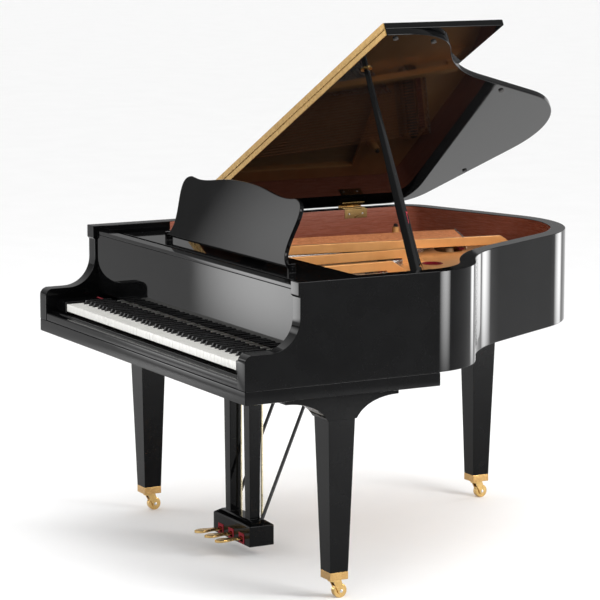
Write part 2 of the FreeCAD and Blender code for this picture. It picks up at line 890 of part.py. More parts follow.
def make_pin_block():
    half = "case_width / 2 - rim_wall - fit"
    depth = ("plate_front", "plate_front + pin_block_depth")
    height = ("plate_base - pin_block_height", "plate_base")
    keep(block("pin_block_plank", (f"-({half})", half), depth, height), "pin_block")


def unison_offsets(note):
    if note <= BASS_NOTES:
        return [0.0]
    return [(index - (UNISON - 1) / 2) * S.unison_spacing for index in range(UNISON)]


def pin_depth(note, index):
    """Rows of pins are staggered, so that neighbouring strings pass each other."""
    row = index if note > BASS_NOTES else note % UNISON
    return S.pin_row_front + row * S.pin_row_spacing


def string(radius, x, depth, end_x, end_depth, level):
    start = Vector(x, FRONT + depth + S.pin_radius + S.fit, level)
    run = Vector(end_x, FRONT + end_depth, level) - start
    return Part.makeCylinder(radius, run.Length, start, run)


def make_strings():
    """Each string runs straight from its pin to its far end behind the bridge."""
    plain, wound, pins = [], [], []
    pin_base = S.plate_base - S.pin_block_height / 2
    for note in range(1, NOTE_COUNT + 1):
        for index, offset in enumerate(unison_offsets(note)):
            x = note_x(note) + offset
            depth = pin_depth(note, index)
            level = S.string_level
            if note > BASS_NOTES:
                end = bridge_depth(note) + S.string_tail
                plain.append(string(S.plain_radius, x, depth, x, end, level))
            else:
                level += S.wound_rise
                end_x, end = bass_end(note)
                slope = (end_x - x) / (end - S.agraffe_depth)
                pin_x = x - slope * (S.agraffe_depth - depth)
                tail_x = end_x + slope * S.string_tail
                wound.append(string(S.wound_radius, pin_x, depth, tail_x, end + S.string_tail, level))
                x = pin_x
            top = max(S.pin_top, level + S.pin_radius)
            pins.append(upright(S.pin_radius, x, depth, pin_base, top))
    keep(feature("plain_wires", Part.makeCompound(plain)), "strings_plain")
    keep(feature("wound_wires", Part.makeCompound(wound)), "strings_wound")
    keep(feature("pin_set", Part.makeCompound(pins)), "tuning_pins")


def make_dampers():
    solids = []
    middle = S.damper_front + S.damper_length / 2
    for note in range(1, DAMPED_NOTES + 1):
        level, radius, x = S.string_level, S.plain_radius, note_x(note)
        if note <= BASS_NOTES:
            level, radius = level + S.wound_rise, S.wound_radius
            end_x, end = bass_end(note)
            x += (end_x - x) * (middle - S.agraffe_depth) / (end - S.agraffe_depth)
        base = level + radius + S.fit
        half = S.damper_width / 2
        head = solid_box(
            (x - half, x + half),
            (S.damper_front, S.damper_front + S.damper_length),
            (base, base + S.damper_height),
        )
        side = half - S.damper_wire_radius if note <= BASS_NOTES else S.unison_spacing / 2
        wire = upright(S.damper_wire_radius, x + side, middle, base - S.damper_wire_length, base + S.fit)
        solids.append(head.fuse(wire).removeSplitter())
    keep(feature("damper_set", Part.makeCompound(solids)), "dampers")


# Fallboard and music desk

def make_fallboard():
    half = INSIDE - S.side_gap
    rear = S.fallboard_pivot_depth
    base = S.fallboard_pivot_level - S.fallboard_drop
    board = solid_box((-half, half), (rear - S.fallboard_thickness, rear), (base, base + S.fallboard_height))
    rail_top = S.fallboard_pivot_level + S.fallboard_drop
    rail = solid_box((-half, half), (rear - S.fit, rear + S.fallboard_rail), (base, rail_top))
    reach = INSIDE + S.pivot_length
    pins = crosswise(S.pivot_radius, -reach, reach, rear, S.fallboard_pivot_level)
    keep(feature("fallboard_panel", board.multiFuse([rail, pins]).removeSplitter()), "fallboard")
    lip_base = base + S.fallboard_height + S.fit
    front = rear - S.fallboard_thickness
    round_end = S.lip_thickness / 2
    spots = [
        Vector(FRONT + y, z, 0)
        for y, z in (
            (front, lip_base + S.lip_thickness),
            (front, lip_base),
            (front + S.lip_depth - round_end, lip_base),
            (front + S.lip_depth, lip_base + round_end),
            (front + S.lip_depth - round_end, lip_base + S.lip_thickness),
        )
    ]
    ends = ((spots[0], spots[1]), (spots[1], spots[2]), (spots[4], spots[0]))
    edges = [Part.LineSegment(a, b) for a, b in ends]
    edges.append(Part.Arc(spots[2], spots[3], spots[4]))
    start = "-case_width / 2 + rim_wall + side_gap"
    length = "case_width - 2 * rim_wall - 2 * side_gap"
    keep(pad("fallboard_lip_strip", "YZ_Plane", edges, start, length), "fallboard_lip")


def make_desk_rails():
    inner = "case_width / 2 - rim_wall - rail_width"
    outer = "case_width / 2 - rim_wall - fit"
    depth = ("plate_front", "plate_front + rail_length")
    height = ("rail_level", "rail_level + rail_thickness")
    treble = block("desk_rail_treble", (inner, outer), depth, height)
    bass = block("desk_rail_bass", (f"-({outer})", f"-({inner})"), depth, height)
    keep(group("desk_rail_pair", [treble, bass]), "desk_rails")


TRAY_BASE = S.rail_level + S.rail_thickness + S.fit
TRAY_TOP = TRAY_BASE + S.tray_thickness
DESK_AXIS = Vector(0, FRONT + S.desk_depth, TRAY_TOP + S.desk_lift)


def make_tray():
    top = S.tray_front + S.tray_depth
    board = solid_box((-S.tray_half, S.tray_half), (S.tray_front, top), (TRAY_BASE, TRAY_TOP))
    inner = S.desk_half + S.side_gap
    half = S.desk_lug
    for low in (inner, -inner - S.desk_lug):
        lug = solid_box(
            (low, low + S.desk_lug),
            (S.desk_depth - half, S.desk_depth + half),
            (TRAY_TOP - S.fit, DESK_AXIS.z + half),
        )
        bore_radius = S.desk_pin_radius + S.pivot_play
        bore = crosswise(bore_radius, low - half, low + 2 * half, S.desk_depth, DESK_AXIS.z)
        board = board.fuse(lug.cut(bore))
    keep(feature("tray_board", board.removeSplitter()), "music_tray")


def desk_outline():
    """Right half of the scrolled desk from the front: points from its top middle to its foot."""
    half, top = S.desk_half, S.desk_height
    dip = top - S.desk_dip
    return [
        Vector(0, top, 0),
        Vector(half * 0.3, top - S.desk_dip / 4, 0),
        Vector(half * 0.66, dip, 0),
        Vector(half * 0.85, dip + S.desk_dip / 5, 0),
        Vector(half * 0.965, dip - S.desk_dip, 0),
        Vector(half * 0.95, top / 2, 0),
        Vector(half, 0, 0),
    ]


def make_desk():
    """The desk is drawn upright on its pivot line and leant back."""
    right = desk_outline()
    left = [Vector(-point.x, point.y, 0) for point in right]
    crest = spline(left[3:0:-1] + right[:4])
    sides = [spline(points[3:]) for points in (right, left)]
    foot = Part.LineSegment(right[-1], left[-1])
    wire = Part.Wire(Part.__sortEdges__([edge.toShape() for edge in (crest, *sides, foot)]))
    board = Part.Face(wire).extrude(Vector(0, 0, S.desk_thickness))
    board.Placement = Placement(Vector(0, 0, 0), Rotation(Vector(1, 0, 0), 90))
    reach = S.desk_half + S.side_gap + S.desk_lug
    pieces = [Part.makeCylinder(S.desk_pin_radius, 2 * reach, Vector(-reach, 0, 0), Vector(1, 0, 0))]
    lug_depth = S.desk_lift - S.side_gap
    for low in (S.desk_strut_half + S.side_gap, -S.desk_strut_half - S.side_gap - S.desk_lug):
        base = S.desk_strut_height - S.desk_lug
        lug = Part.makeBox(S.desk_lug, lug_depth + S.fit, 2 * S.desk_lug, Vector(low, -S.fit, base))
        bore = Part.makeCylinder(
            S.desk_pin_radius + S.pivot_play,
            3 * S.desk_lug,
            Vector(low - S.desk_lug, S.desk_strut_thickness, S.desk_strut_height),
            Vector(1, 0, 0),
        )
        pieces.append(lug.cut(bore))
    desk = keep(feature("desk_board", board.multiFuse(pieces).removeSplitter()), "music_desk")
    desk.Placement = Placement(DESK_AXIS, Rotation(Vector(1, 0, 0), -S.desk_lean))


def strut_angle():
    """Angle of the strut from straight down, with its foot just above the tray."""
    lean = math.radians(S.desk_lean)
    pivot = S.desk_strut_height * math.cos(lean) - S.desk_strut_thickness * math.sin(lean)
    drop = pivot + S.desk_lift - S.fit
    half = S.desk_strut_thickness / 2
    reach = math.hypot(S.desk_strut_length, half)
    return math.degrees(math.atan2(half, S.desk_strut_length) + math.acos(drop / reach))


def make_desk_strut():
    """The strut hangs from pins in the desk's lugs and stands on the tray."""
    half = S.desk_strut_thickness / 2
    width = 2 * S.desk_strut_half
    bar = Part.makeBox(width, 2 * half, S.desk_strut_length, Vector(-width / 2, -half, -S.desk_strut_length))
    reach = S.desk_strut_half + S.side_gap + S.desk_lug
    pins = Part.makeCylinder(S.desk_pin_radius, 2 * reach, Vector(-reach, 0, 0), Vector(1, 0, 0))
    strut = keep(feature("desk_strut_bar", bar.fuse(pins).removeSplitter()), "desk_strut")
    lean = Rotation(Vector(1, 0, 0), -S.desk_lean)
    pivot = DESK_AXIS + lean.multVec(Vector(0, S.desk_strut_thickness, S.desk_strut_height))
    strut.Placement = Placement(pivot, Rotation(Vector(1, 0, 0), strut_angle()))


# Lyre and pedals

KEYBED_BOTTOM = S.rim_bottom - S.keybed_thickness
BOX_TOP = S.box_base + S.box_height
CROWN_TOP = BOX_TOP + S.box_crown
PEDALS = (("soft", -1), ("middle", 0), ("damper", 1))


def rectangle(x, y, z):
    """Wire of a rectangle at a level, between pairs of values."""
    corners = [Vector(x[i], FRONT + y[j], z) for i, j in ((0, 0), (1, 0), (1, 1), (0, 1))]
    return Part.makePolygon(corners + corners[:1])


def make_lyre():
    half, bevel, wall = S.box_half, S.box_bevel, S.box_wall
    front, rear = S.box_front, S.box_front + S.box_depth
    box = solid_box((-half, half), (front, rear), (S.box_base, BOX_TOP))
    lower = rectangle((-half, half), (front, rear), BOX_TOP)
    upper = rectangle((bevel - half, half - bevel), (front + bevel, rear - bevel), CROWN_TOP)
    box = box.fuse(Part.makeLoft([lower, upper], True, True))
    hollow_height = (S.box_base + wall, BOX_TOP - wall)
    box = box.cut(solid_box((wall - half, half - wall), (front + wall, rear - wall), hollow_height))
    drop = (S.lyre_depth - front) * math.sin(math.radians(S.pedal_travel))
    slot_low = S.pedal_level - S.pedal_thickness / 2 - drop - S.side_gap
    slot_high = S.pedal_level + S.pedal_thickness / 2 + S.side_gap
    slot_half = S.pedal_neck_width / 2 + S.side_gap
    for _, side in PEDALS:
        x = side * S.pedal_spacing
        slot_x = (x - slot_half, x + slot_half)
        box = box.cut(solid_box(slot_x, (front - wall, front + 2 * wall), (slot_low, slot_high)))
        hole = upright(S.rod_radius + S.fit, x, front + S.rod_back, BOX_TOP - 2 * wall, CROWN_TOP + wall)
        box = box.cut(hole)
    pieces = [crosswise(S.axle_radius, wall / 2 - half, half - wall / 2, S.lyre_depth, S.pedal_level)]
    block_base = KEYBED_BOTTOM - S.lyre_block_height
    ends = ((S.pillar_foot / 2, BOX_TOP - wall / 2), (S.pillar_top / 2, block_base + S.fit))
    for x in (-S.pillar_spread, S.pillar_spread):
        sections = []
        for size, level in ends:
            depth = (S.lyre_depth - size, S.lyre_depth + size)
            sections.append(rectangle((x - size, x + size), depth, level))
        pieces.append(Part.makeLoft(sections, True, True))
    block_rear = S.box_front + S.rod_back - S.rod_radius - S.side_gap
    block_y = (S.lyre_depth - S.pillar_top, block_rear)
    pieces.append(solid_box((-S.lyre_block_half, S.lyre_block_half), block_y, (block_base, KEYBED_BOTTOM)))
    keep(feature("lyre_body", box.multiFuse(pieces).removeSplitter()), "lyre")


def make_braces():
    """Round bars with level ends from the pedal box up to the keybed."""
    rear = S.box_front + S.box_depth - S.box_bevel - S.brace_radius
    braces = []
    for x in (-S.brace_spread, S.brace_spread):
        foot = Vector(x, FRONT + rear, CROWN_TOP)
        head = Vector(x, FRONT + S.brace_back, KEYBED_BOTTOM)
        disc = Part.Face(Part.Wire(Part.makeCircle(S.brace_radius, foot)))
        braces.append(disc.extrude(head - foot))
    keep(feature("brace_pair", Part.makeCompound(braces)), "lyre_braces")


def pedal_shape(x):
    tip = S.box_front - S.pedal_reach
    wide, neck = S.pedal_tip_width / 2, S.pedal_neck_width / 2
    rear = S.box_front + S.rod_back + S.rod_radius + S.side_gap
    sides = ((neck, 0.8), (0.8 * wide, 0.5), (wide, 0.2))
    right = [Vector(x + half, FRONT + tip + share * S.pedal_reach, 0) for half, share in sides]
    left = [Vector(2 * x - point.x, point.y, 0) for point in right]
    nose = spline(right + [Vector(x, FRONT + tip, 0)] + left[::-1])
    corners = [left[0], Vector(x - neck, FRONT + rear, 0), Vector(x + neck, FRONT + rear, 0), right[0]]
    edges = [nose.toShape()] + [Part.makeLine(a, b) for a, b in zip(corners, corners[1:])]
    wire = Part.Wire(Part.__sortEdges__(edges))
    wire.translate(Vector(0, 0, S.pedal_level - S.pedal_thickness / 2))
    pedal = Part.Face(wire).extrude(Vector(0, 0, S.pedal_thickness))
    hub = crosswise(2 * S.axle_radius, x - neck, x + neck, S.lyre_depth, S.pedal_level)
    bore = crosswise(S.axle_radius + S.pivot_play, x - wide, x + wide, S.lyre_depth, S.pedal_level)
    return pedal.fuse(hub).cut(bore).removeSplitter()


def make_pedals():
    for name, side in PEDALS:
        x = side * S.pedal_spacing
        keep(feature(f"pedal_{name}_lever", pedal_shape(x)), f"pedal_{name}")
        rod = doc.addObject("Part::Cylinder", f"rod_{name}_bar")
        base = "pedal_level + pedal_thickness / 2 + fit"
        bind(rod, "Radius", "rod_radius")
        bind(rod, "Height", f"rim_bottom - keybed_thickness - rod_headroom - ({base})")
        bind(rod, "Placement.Base.x", f"{side} * pedal_spacing")
        bind(rod, "Placement.Base.y", back("box_front + rod_back"))
        bind(rod, "Placement.Base.z", base)
        keep(rod, f"pedal_rod_{name}")


# Legs and casters

LEGS = (
    ("treble", S.leg_side, S.leg_depth, KEYBED_BOTTOM, S.leg_block_reach),
    ("bass", -S.leg_side, S.leg_depth, KEYBED_BOTTOM, S.leg_block_reach),
    ("tail", S.tail_leg_side, S.tail_leg_depth, S.rim_bottom, S.tail_block_reach),
)
FERRULE_BASE = S.leg_foot_level - S.ferrule_height
# Shares of the way outwards and upwards of the points that shape a block's underside.
BLOCK_CURVE = ((0, 0), (0.14, 0.6), (0.5, 1), (1, 1))


def leg_block(x, depth, top, reach):
    """Bracket above a leg, a little wider than it, with concave undersides that flatten outwards."""
    half = S.leg_top_size / 2 + S.leg_block_lip
    base, end = top - S.leg_block_height, top - S.leg_block_end

    def spot(offset, z):
        return Vector(x - half, FRONT + depth + offset, z)

    def underside(way):
        poles = [spot(way * (half + out * (reach - half)), base + up * (end - base)) for out, up in BLOCK_CURVE]
        curve = Part.BezierCurve()
        curve.setPoles(poles[::way])
        return curve.toShape()

    edges = [
        Part.makeLine(spot(-half, base), spot(half, base)),
        underside(1),
        Part.makeLine(spot(reach, end), spot(reach, top)),
        Part.makeLine(spot(reach, top), spot(-reach, top)),
        Part.makeLine(spot(-reach, top), spot(-reach, end)),
        underside(-1),
    ]
    return Part.Face(Part.Wire(edges)).extrude(Vector(2 * half, 0, 0))


def make_legs():
    ferrules = []
    for name, x, depth, top, reach in LEGS:
        head, foot = S.leg_top_size / 2, S.leg_foot_size / 2
        upper = rectangle((x - head, x + head), (depth - head, depth + head), top - S.leg_block_height)
        foot_x, foot_y = (x - foot, x + foot), (depth - foot, depth + foot)
        lower = rectangle(foot_x, foot_y, S.leg_foot_level)
        shaft = Part.makeLoft([lower, upper], True, True)
        leg = shaft.fuse(leg_block(x, depth, top, reach)).removeSplitter()
        keep(feature(f"leg_{name}_post", leg), f"leg_{name}")
        ferrule = solid_box(foot_x, foot_y, (FERRULE_BASE, S.leg_foot_level))
        bore_top = FERRULE_BASE + S.stem_length + S.fit
        ferrules.append(ferrule.cut(upright(S.stem_radius + S.pivot_play, x, depth, FERRULE_BASE, bore_top)))
    keep(feature("ferrule_set", Part.makeCompound(ferrules)), "leg_ferrules")


def fork_cheek(low, high, depth, wheel_y, top):
    """Plate that narrows from the head of a fork to a round end at its axle."""
    reach = S.cheek_radius
    outline = (
        (depth - S.cheek_top, top),
        (depth + S.cheek_top, top),
        (wheel_y + reach, S.wheel_radius),
        (wheel_y - reach, S.wheel_radius),
    )
    corners = [Vector(low, FRONT + y, z) for y, z in outline]
    web = Part.Face(Part.makePolygon(corners + corners[:1])).extrude(Vector(high - low, 0, 0))
    return web.fuse(crosswise(reach, low, high, wheel_y, S.wheel_radius))


def make_casters():
    """Each caster turns on its stem and its wheel rolls on the fork's axle."""
    plate_top = FERRULE_BASE - S.fork_gap
    plate_base = plate_top - S.fork_plate
    inner = S.wheel_width / 2 + S.fork_gap
    outer = inner + S.fork_cheek
    axle = S.stem_radius / 2
    for name, x, depth, _, _ in LEGS:
        wheel_y = depth + S.caster_trail
        fork = upright(outer + S.fork_cheek, x, depth, plate_base, plate_top)
        pieces = [upright(S.stem_radius, x, depth, plate_top - S.fit, plate_top + S.fork_gap + S.stem_length)]
        for low, high in ((x - outer, x - inner), (x + inner, x + outer)):
            pieces.append(fork_cheek(low, high, depth, wheel_y, plate_top))
        pieces.append(crosswise(axle, x - outer, x + outer, wheel_y, S.wheel_radius))
        fork = fork.multiFuse(pieces).removeSplitter()
        keep(feature(f"caster_fork_{name}_frame", fork), f"caster_fork_{name}")
        half = S.wheel_width / 2
        wheel = crosswise(S.wheel_radius, x - half, x + half, wheel_y, S.wheel_radius)
        wheel = wheel.cut(crosswise(axle + S.pivot_play, x - outer, x + outer, wheel_y, S.wheel_radius))
        keep(feature(f"caster_wheel_{name}_disc", wheel), f"caster_wheel_{name}")


# Lid

LID_BASE = S.rim_top + S.lid_gap
LID_TOP = LID_BASE + S.lid_thickness
LID_AXIS = Vector(S.lid_hinge_inset - HALF, 0, S.rim_top + S.lid_gap / 2)
LID_POSE = Placement(Vector(), Rotation(Vector(0, 1, 0), -S.lid_open), LID_AXIS)
FLAP_AXIS = Vector(0, FRONT + S.flap_line, LID_TOP + S.fit)
FLAP_POSE = LID_POSE.multiply(Placement(Vector(), Rotation(Vector(1, 0, 0), 180), FLAP_AXIS))
LID_LEVEL = "rim_top + lid_gap"


def make_lid():
    edges = plan_area(0, S.flap_line + S.leaf_thickness)
    lid = keep(pad("main_lid_panel", "XY_Plane", edges, LID_LEVEL, "lid_thickness"), "main_lid")
    lid.Placement = LID_POSE
    near, far = S.flap_line - S.flap_depth, S.flap_line - S.leaf_thickness
    corners = [(-HALF, FRONT + near), (HALF, FRONT + near), (HALF, FRONT + far), (-HALF, FRONT + far)]
    flap = keep(pad("lid_flap_panel", "XY_Plane", segments(corners), LID_LEVEL, "lid_thickness"), "lid_flap")
    flap.Placement = FLAP_POSE


def flap_leaf(side, first):
    """One leaf of the long hinge, on one side of the flap line, with every second knuckle."""
    reach = HALF - S.side_gap
    clear = S.knuckle_radius + S.fit
    faces = sorted((S.flap_line + side * S.fit / 2, S.flap_line + side * S.leaf_thickness))
    leaf = solid_box((-reach, reach), faces, (LID_BASE + S.fit, FLAP_AXIS.z - clear))
    pitch = 2 * reach / S.knuckle_count
    for index in range(first, int(S.knuckle_count), 2):
        low = -reach + index * pitch + S.fit / 2
        high = low + pitch - S.fit
        barrel = crosswise(S.knuckle_radius, low, high, S.flap_line, FLAP_AXIS.z)
        web = solid_box((low, high), faces, (FLAP_AXIS.z - clear - S.fit, FLAP_AXIS.z))
        leaf = leaf.multiFuse([barrel, web])
    pin = crosswise(S.hinge_pin_radius, -reach, reach, S.flap_line, FLAP_AXIS.z)
    if side > 0:
        return leaf.fuse(pin).removeSplitter()
    bore = crosswise(S.hinge_pin_radius + S.pivot_play, -reach, reach, S.flap_line, FLAP_AXIS.z)
    return leaf.cut(bore).removeSplitter()


def butt_leaf(depth, upper):
    """One leaf of a spine hinge. The lower leaf carries the pin and the two end knuckles."""
    axis_x, axis_z = LID_AXIS.x, LID_AXIS.z
    clear = S.butt_radius + S.fit
    level = LID_BASE - S.butt_leaf if upper else S.rim_top
    height = (level, level + S.butt_leaf)
    leaf = solid_box((axis_x + clear, axis_x + S.butt_width), (depth, depth + S.butt_length), height)
    third = S.butt_length / 3
    for index in ((1,) if upper else (0, 2)):
        low = depth + index * third + S.fit / 2
        start = Vector(axis_x, FRONT + low, axis_z)
        leaf = leaf.fuse(Part.makeCylinder(S.butt_radius, third - S.fit, start, Vector(0, 1, 0)))
        leaf = leaf.fuse(solid_box((axis_x, axis_x + 2 * clear), (low, low + third - S.fit), height))
    start = Vector(axis_x, FRONT + depth, axis_z)
    pin_radius = S.butt_radius / 2
    if upper:
        return leaf.cut(Part.makeCylinder(pin_radius + S.pivot_play, S.butt_length, start, Vector(0, 1, 0)))
    return leaf.fuse(Part.makeCylinder(pin_radius, S.butt_length, start, Vector(0, 1, 0))).removeSplitter()


def butt_depths():
    return (S.butt_front, S.butt_rear)


# Prop

def prop_reach():
    """Distance of the cup from the lid's hinge, and of the prop's foot from the hinge plane."""
    angle = math.radians(S.lid_open)
    side, rise = S.prop_side - LID_AXIS.x, S.prop_level - LID_AXIS.z
    along = side * math.cos(angle) + rise * math.sin(angle)
    return along, side * math.sin(angle) - rise * math.cos(angle)


PROP_LENGTH = prop_reach()[1] + S.lid_gap / 2 - S.cup_thickness - S.fit
PROP_UP = LID_POSE.Rotation.multVec(Vector(0, 0, 1))
PROP_FOLD = Vector(-math.sin(math.radians(S.prop_heading)), math.cos(math.radians(S.prop_heading)), 0)
PROP_AXIS = PROP_UP.cross(PROP_FOLD).normalize()
PROP_FOOT = Vector(S.prop_side, FRONT + S.prop_depth, S.prop_level)
PROP_POSE = Placement(PROP_FOOT, Rotation(PROP_AXIS.cross(PROP_UP), PROP_AXIS, PROP_UP, "ZYX"))


def prop_width(height):
    return S.prop_base_width + (S.prop_top_width - S.prop_base_width) * height / PROP_LENGTH


def prop_side_view(half, foot):
    """Even thickness up to the shoulder, then thinner towards the tip."""
    tip = S.prop_tip_thickness / 2
    points = [(half, -foot), (half, S.prop_shoulder), (tip, PROP_LENGTH)]
    points += [(-side, height) for side, height in reversed(points)]
    corners = [Vector(-foot, side, height) for side, height in points + points[:1]]
    return Part.Face(Part.makePolygon(corners)).extrude(Vector(2 * foot, 0, 0))


def make_prop():
    """The prop stands square to the lid. The half prop lies in a rebate of its rear edge."""
    half, foot = S.prop_thickness / 2, S.prop_base_width / 2
    tip = S.prop_top_width / 2
    edges = [
        Part.makeLine(Vector(foot, -half, 0), Vector(tip, -half, PROP_LENGTH)),
        Part.makeLine(Vector(tip, -half, PROP_LENGTH), Vector(-tip, -half, PROP_LENGTH)),
        Part.makeLine(Vector(-tip, -half, PROP_LENGTH), Vector(-foot, -half, 0)),
        Part.Arc(Vector(-foot, -half, 0), Vector(0, -half, -foot), Vector(foot, -half, 0)).toShape(),
    ]
    front_view = Part.Face(Part.Wire(edges)).extrude(Vector(0, S.prop_thickness, 0))
    stick = front_view.common(prop_side_view(half, foot))
    across = Vector(1, 0, 0)
    bore_radius = S.prop_pin_radius + S.pivot_play
    bore = Part.makeCylinder(bore_radius, 2 * S.prop_thickness, Vector(0, -2 * half, 0), Vector(0, 1, 0))
    face = foot - S.half_prop_width
    pivot = S.half_prop_start + half
    reach = S.half_prop_start + S.half_prop_length - pivot
    corner = Vector(face, -2 * half, S.half_prop_start - S.side_gap)
    rebate = Part.makeBox(foot, 2 * S.prop_thickness, S.half_prop_length + 2 * S.side_gap, corner)
    pin_radius = S.prop_pin_radius / 2
    pin_start = Vector(-foot / 2, 0, pivot)
    pin_bore = Part.makeCylinder(pin_radius + S.pivot_play, foot, pin_start, across)
    prop = keep(feature("prop_stick_bar", stick.cut(bore).cut(rebate).cut(pin_bore)), "prop_stick")
    prop.Placement = PROP_POSE
    side = face + S.fit
    bar = stick.common(Part.makeBox(foot, 2 * S.prop_thickness, reach, Vector(side, -2 * half, pivot)))
    eye = Part.makeCylinder(half, prop_width(pivot) / 2 - side, Vector(side, 0, pivot), across)
    pin = Part.makeCylinder(pin_radius, side + foot / 2 + S.fit, pin_start, across)
    half_prop = keep(feature("half_prop_bar", bar.multiFuse([eye, pin]).removeSplitter()), "half_prop")
    half_prop.Placement = PROP_POSE


def prop_bracket():
    """Pin through the foot of the prop, on a boss that ends at the rim."""
    half = S.prop_thickness / 2
    boss_radius = 3 * S.prop_pin_radius
    down = Vector(0, -1, 0)
    boss = Part.makeCylinder(boss_radius, 2 * S.rim_wall, Vector(0, -half - S.fit, 0), down)
    pin_length = 2 * half + S.side_gap + 2 * S.fit
    pin = Part.makeCylinder(S.prop_pin_radius, pin_length, Vector(0, half + S.side_gap, 0), down)
    bracket = boss.fuse(pin)
    bracket.Placement = PROP_POSE
    return bracket.common(plan_solid(S.rim_wall + S.fit, S.flap_line, S.rim_bottom, S.rim_top))


def make_fittings():
    rim_side = [butt_leaf(depth, False) for depth in butt_depths()]
    keep(feature("rim_brass", Part.makeCompound(rim_side + [prop_bracket()])), "rim_fittings")
    cup_x = LID_AXIS.x + prop_reach()[0]
    cup = upright(S.cup_radius, cup_x, S.prop_depth, LID_BASE - S.cup_thickness, LID_BASE)
    lid_side = [butt_leaf(depth, True) for depth in butt_depths()]
    brass = Part.makeCompound([flap_leaf(1, 0), cup] + lid_side)
    lid_brass = keep(feature("lid_brass", brass), "lid_fittings")
    lid_brass.Placement = LID_POSE
    leaf = keep(feature("flap_brass", flap_leaf(-1, 1)), "flap_hinge_leaf")
    leaf.Placement = FLAP_POSE


def make_buttons():
    """Rubber buttons under the lid, over the middle of the rim."""
    curve = plan_curve(S.rim_wall / 2, S.flap_line + S.leaf_thickness + S.button_radius)
    buttons = []
    for index in (0, 1, 3, 5):
        edge = curve[index]
        middle = edge.value((edge.FirstParameter + edge.LastParameter) / 2)
        base = Vector(middle.x, middle.y, S.rim_top + S.fit)
        buttons.append(Part.makeCylinder(S.button_radius, S.lid_gap - S.fit, base))
    rubber = keep(feature("button_set", Part.makeCompound(buttons)), "lid_buttons")
    rubber.Placement = LID_POSE


def check_and_write():
    """Every object must have rebuilt cleanly before anything is written."""
    doc.recompute()
    broken = [obj.Name for obj in doc.Objects if "Invalid" in obj.State or "Error" in obj.State]
    if broken:
        raise RuntimeError(f"objects failed to rebuild: {broken}")
    for node in nodes:
        if node.Shape.isNull() or not node.Shape.isValid():
            raise RuntimeError(f"bad shape: {node.Label}")
    os.makedirs("parts", exist_ok=True)
    for node in nodes:
        node.Shape.exportStep(f"parts/{node.Label}.step")


make_rim()
make_keybed()
make_keys()
make_key_frame()
make_action()
make_inner_rim()
make_beams()
make_soundboard()
make_bridges()
make_plate()
make_pin_block()
make_strings()
make_dampers()
make_fallboard()
make_desk_rails()
make_tray()
make_desk()
make_desk_strut()
make_lyre()
make_braces()
make_pedals()
make_legs()
make_casters()
make_lid()
make_prop()
make_fittings()
make_buttons()
check_and_write()
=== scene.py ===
import json
import math
import bmesh
import bpy
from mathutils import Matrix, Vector


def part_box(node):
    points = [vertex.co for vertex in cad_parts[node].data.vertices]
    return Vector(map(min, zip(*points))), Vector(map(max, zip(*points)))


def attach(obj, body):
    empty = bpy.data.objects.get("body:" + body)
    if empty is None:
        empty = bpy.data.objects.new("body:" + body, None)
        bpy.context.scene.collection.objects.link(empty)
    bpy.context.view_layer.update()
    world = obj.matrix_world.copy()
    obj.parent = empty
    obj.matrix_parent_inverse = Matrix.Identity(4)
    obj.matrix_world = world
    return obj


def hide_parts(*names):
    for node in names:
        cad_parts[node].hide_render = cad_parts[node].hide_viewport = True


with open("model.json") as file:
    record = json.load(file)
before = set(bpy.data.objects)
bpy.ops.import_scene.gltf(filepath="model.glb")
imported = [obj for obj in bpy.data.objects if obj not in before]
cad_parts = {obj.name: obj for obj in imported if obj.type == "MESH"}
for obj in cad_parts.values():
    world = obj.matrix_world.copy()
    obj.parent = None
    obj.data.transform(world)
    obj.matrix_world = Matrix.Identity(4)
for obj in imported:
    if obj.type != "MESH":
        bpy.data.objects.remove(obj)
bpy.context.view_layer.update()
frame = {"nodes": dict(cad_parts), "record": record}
BODY_OF = {node: body for body, nodes in frame["record"]["behaviour"]["bodies"].items() for node in nodes}

# Node graphs

# Noise stays mostly between these two values.
NOISE_LOW, NOISE_HIGH = 0.3, 0.7


def graph(name):
    """A new material, its node tree and its one shader."""
    material = bpy.data.materials.new(name)
    material.use_nodes = True
    tree = material.node_tree
    tree.nodes.clear()
    shader = tree.nodes.new("ShaderNodeBsdfPrincipled")
    output = tree.nodes.new("ShaderNodeOutputMaterial")
    tree.links.new(shader.outputs[0], output.inputs[0])
    return material, tree, shader


def add(tree, kind, inputs=(), **settings):
    """A node with its settings, and its inputs given as values or as sockets to link."""
    made = tree.nodes.new(kind)
    for key, value in settings.items():
        setattr(made, key, value)
    for key, value in dict(inputs).items():
        if isinstance(value, bpy.types.NodeSocket):
            tree.links.new(value, made.inputs[key])
        else:
            made.inputs[key].default_value = value
    return made


def place(tree, stretch=(1, 1, 1)):
    """Position on the object in metres, stretched along the axes."""
    where = add(tree, "ShaderNodeTexCoord")
    return add(tree, "ShaderNodeMapping", {"Vector": where.outputs["Object"], "Scale": stretch}).outputs[0]


def noise(tree, scale, stretch=(1, 1, 1), detail=4.0, rough=0.55):
    """Noise over the object, with its scale in waves to the metre."""
    inputs = {"Vector": place(tree, stretch), "Scale": scale, "Detail": detail, "Roughness": rough}
    return add(tree, "ShaderNodeTexNoise", inputs).outputs["Fac"]


def spread(tree, value, low, high):
    """Noise mapped to a range."""
    inputs = {"Value": value, "From Min": NOISE_LOW, "From Max": NOISE_HIGH, "To Min": low, "To Max": high}
    return add(tree, "ShaderNodeMapRange", inputs).outputs[0]


def ramp(tree, value, stops):
    """Colours along a value, given as pairs of position and colour."""
    made = add(tree, "ShaderNodeValToRGB", {"Fac": value})
    elements = made.color_ramp.elements
    while len(elements) < len(stops):
        elements.new(0.5)
    for element, (position, colour) in zip(elements, stops):
        element.position = position
        element.color = (*colour, 1)
    return made.outputs["Color"]


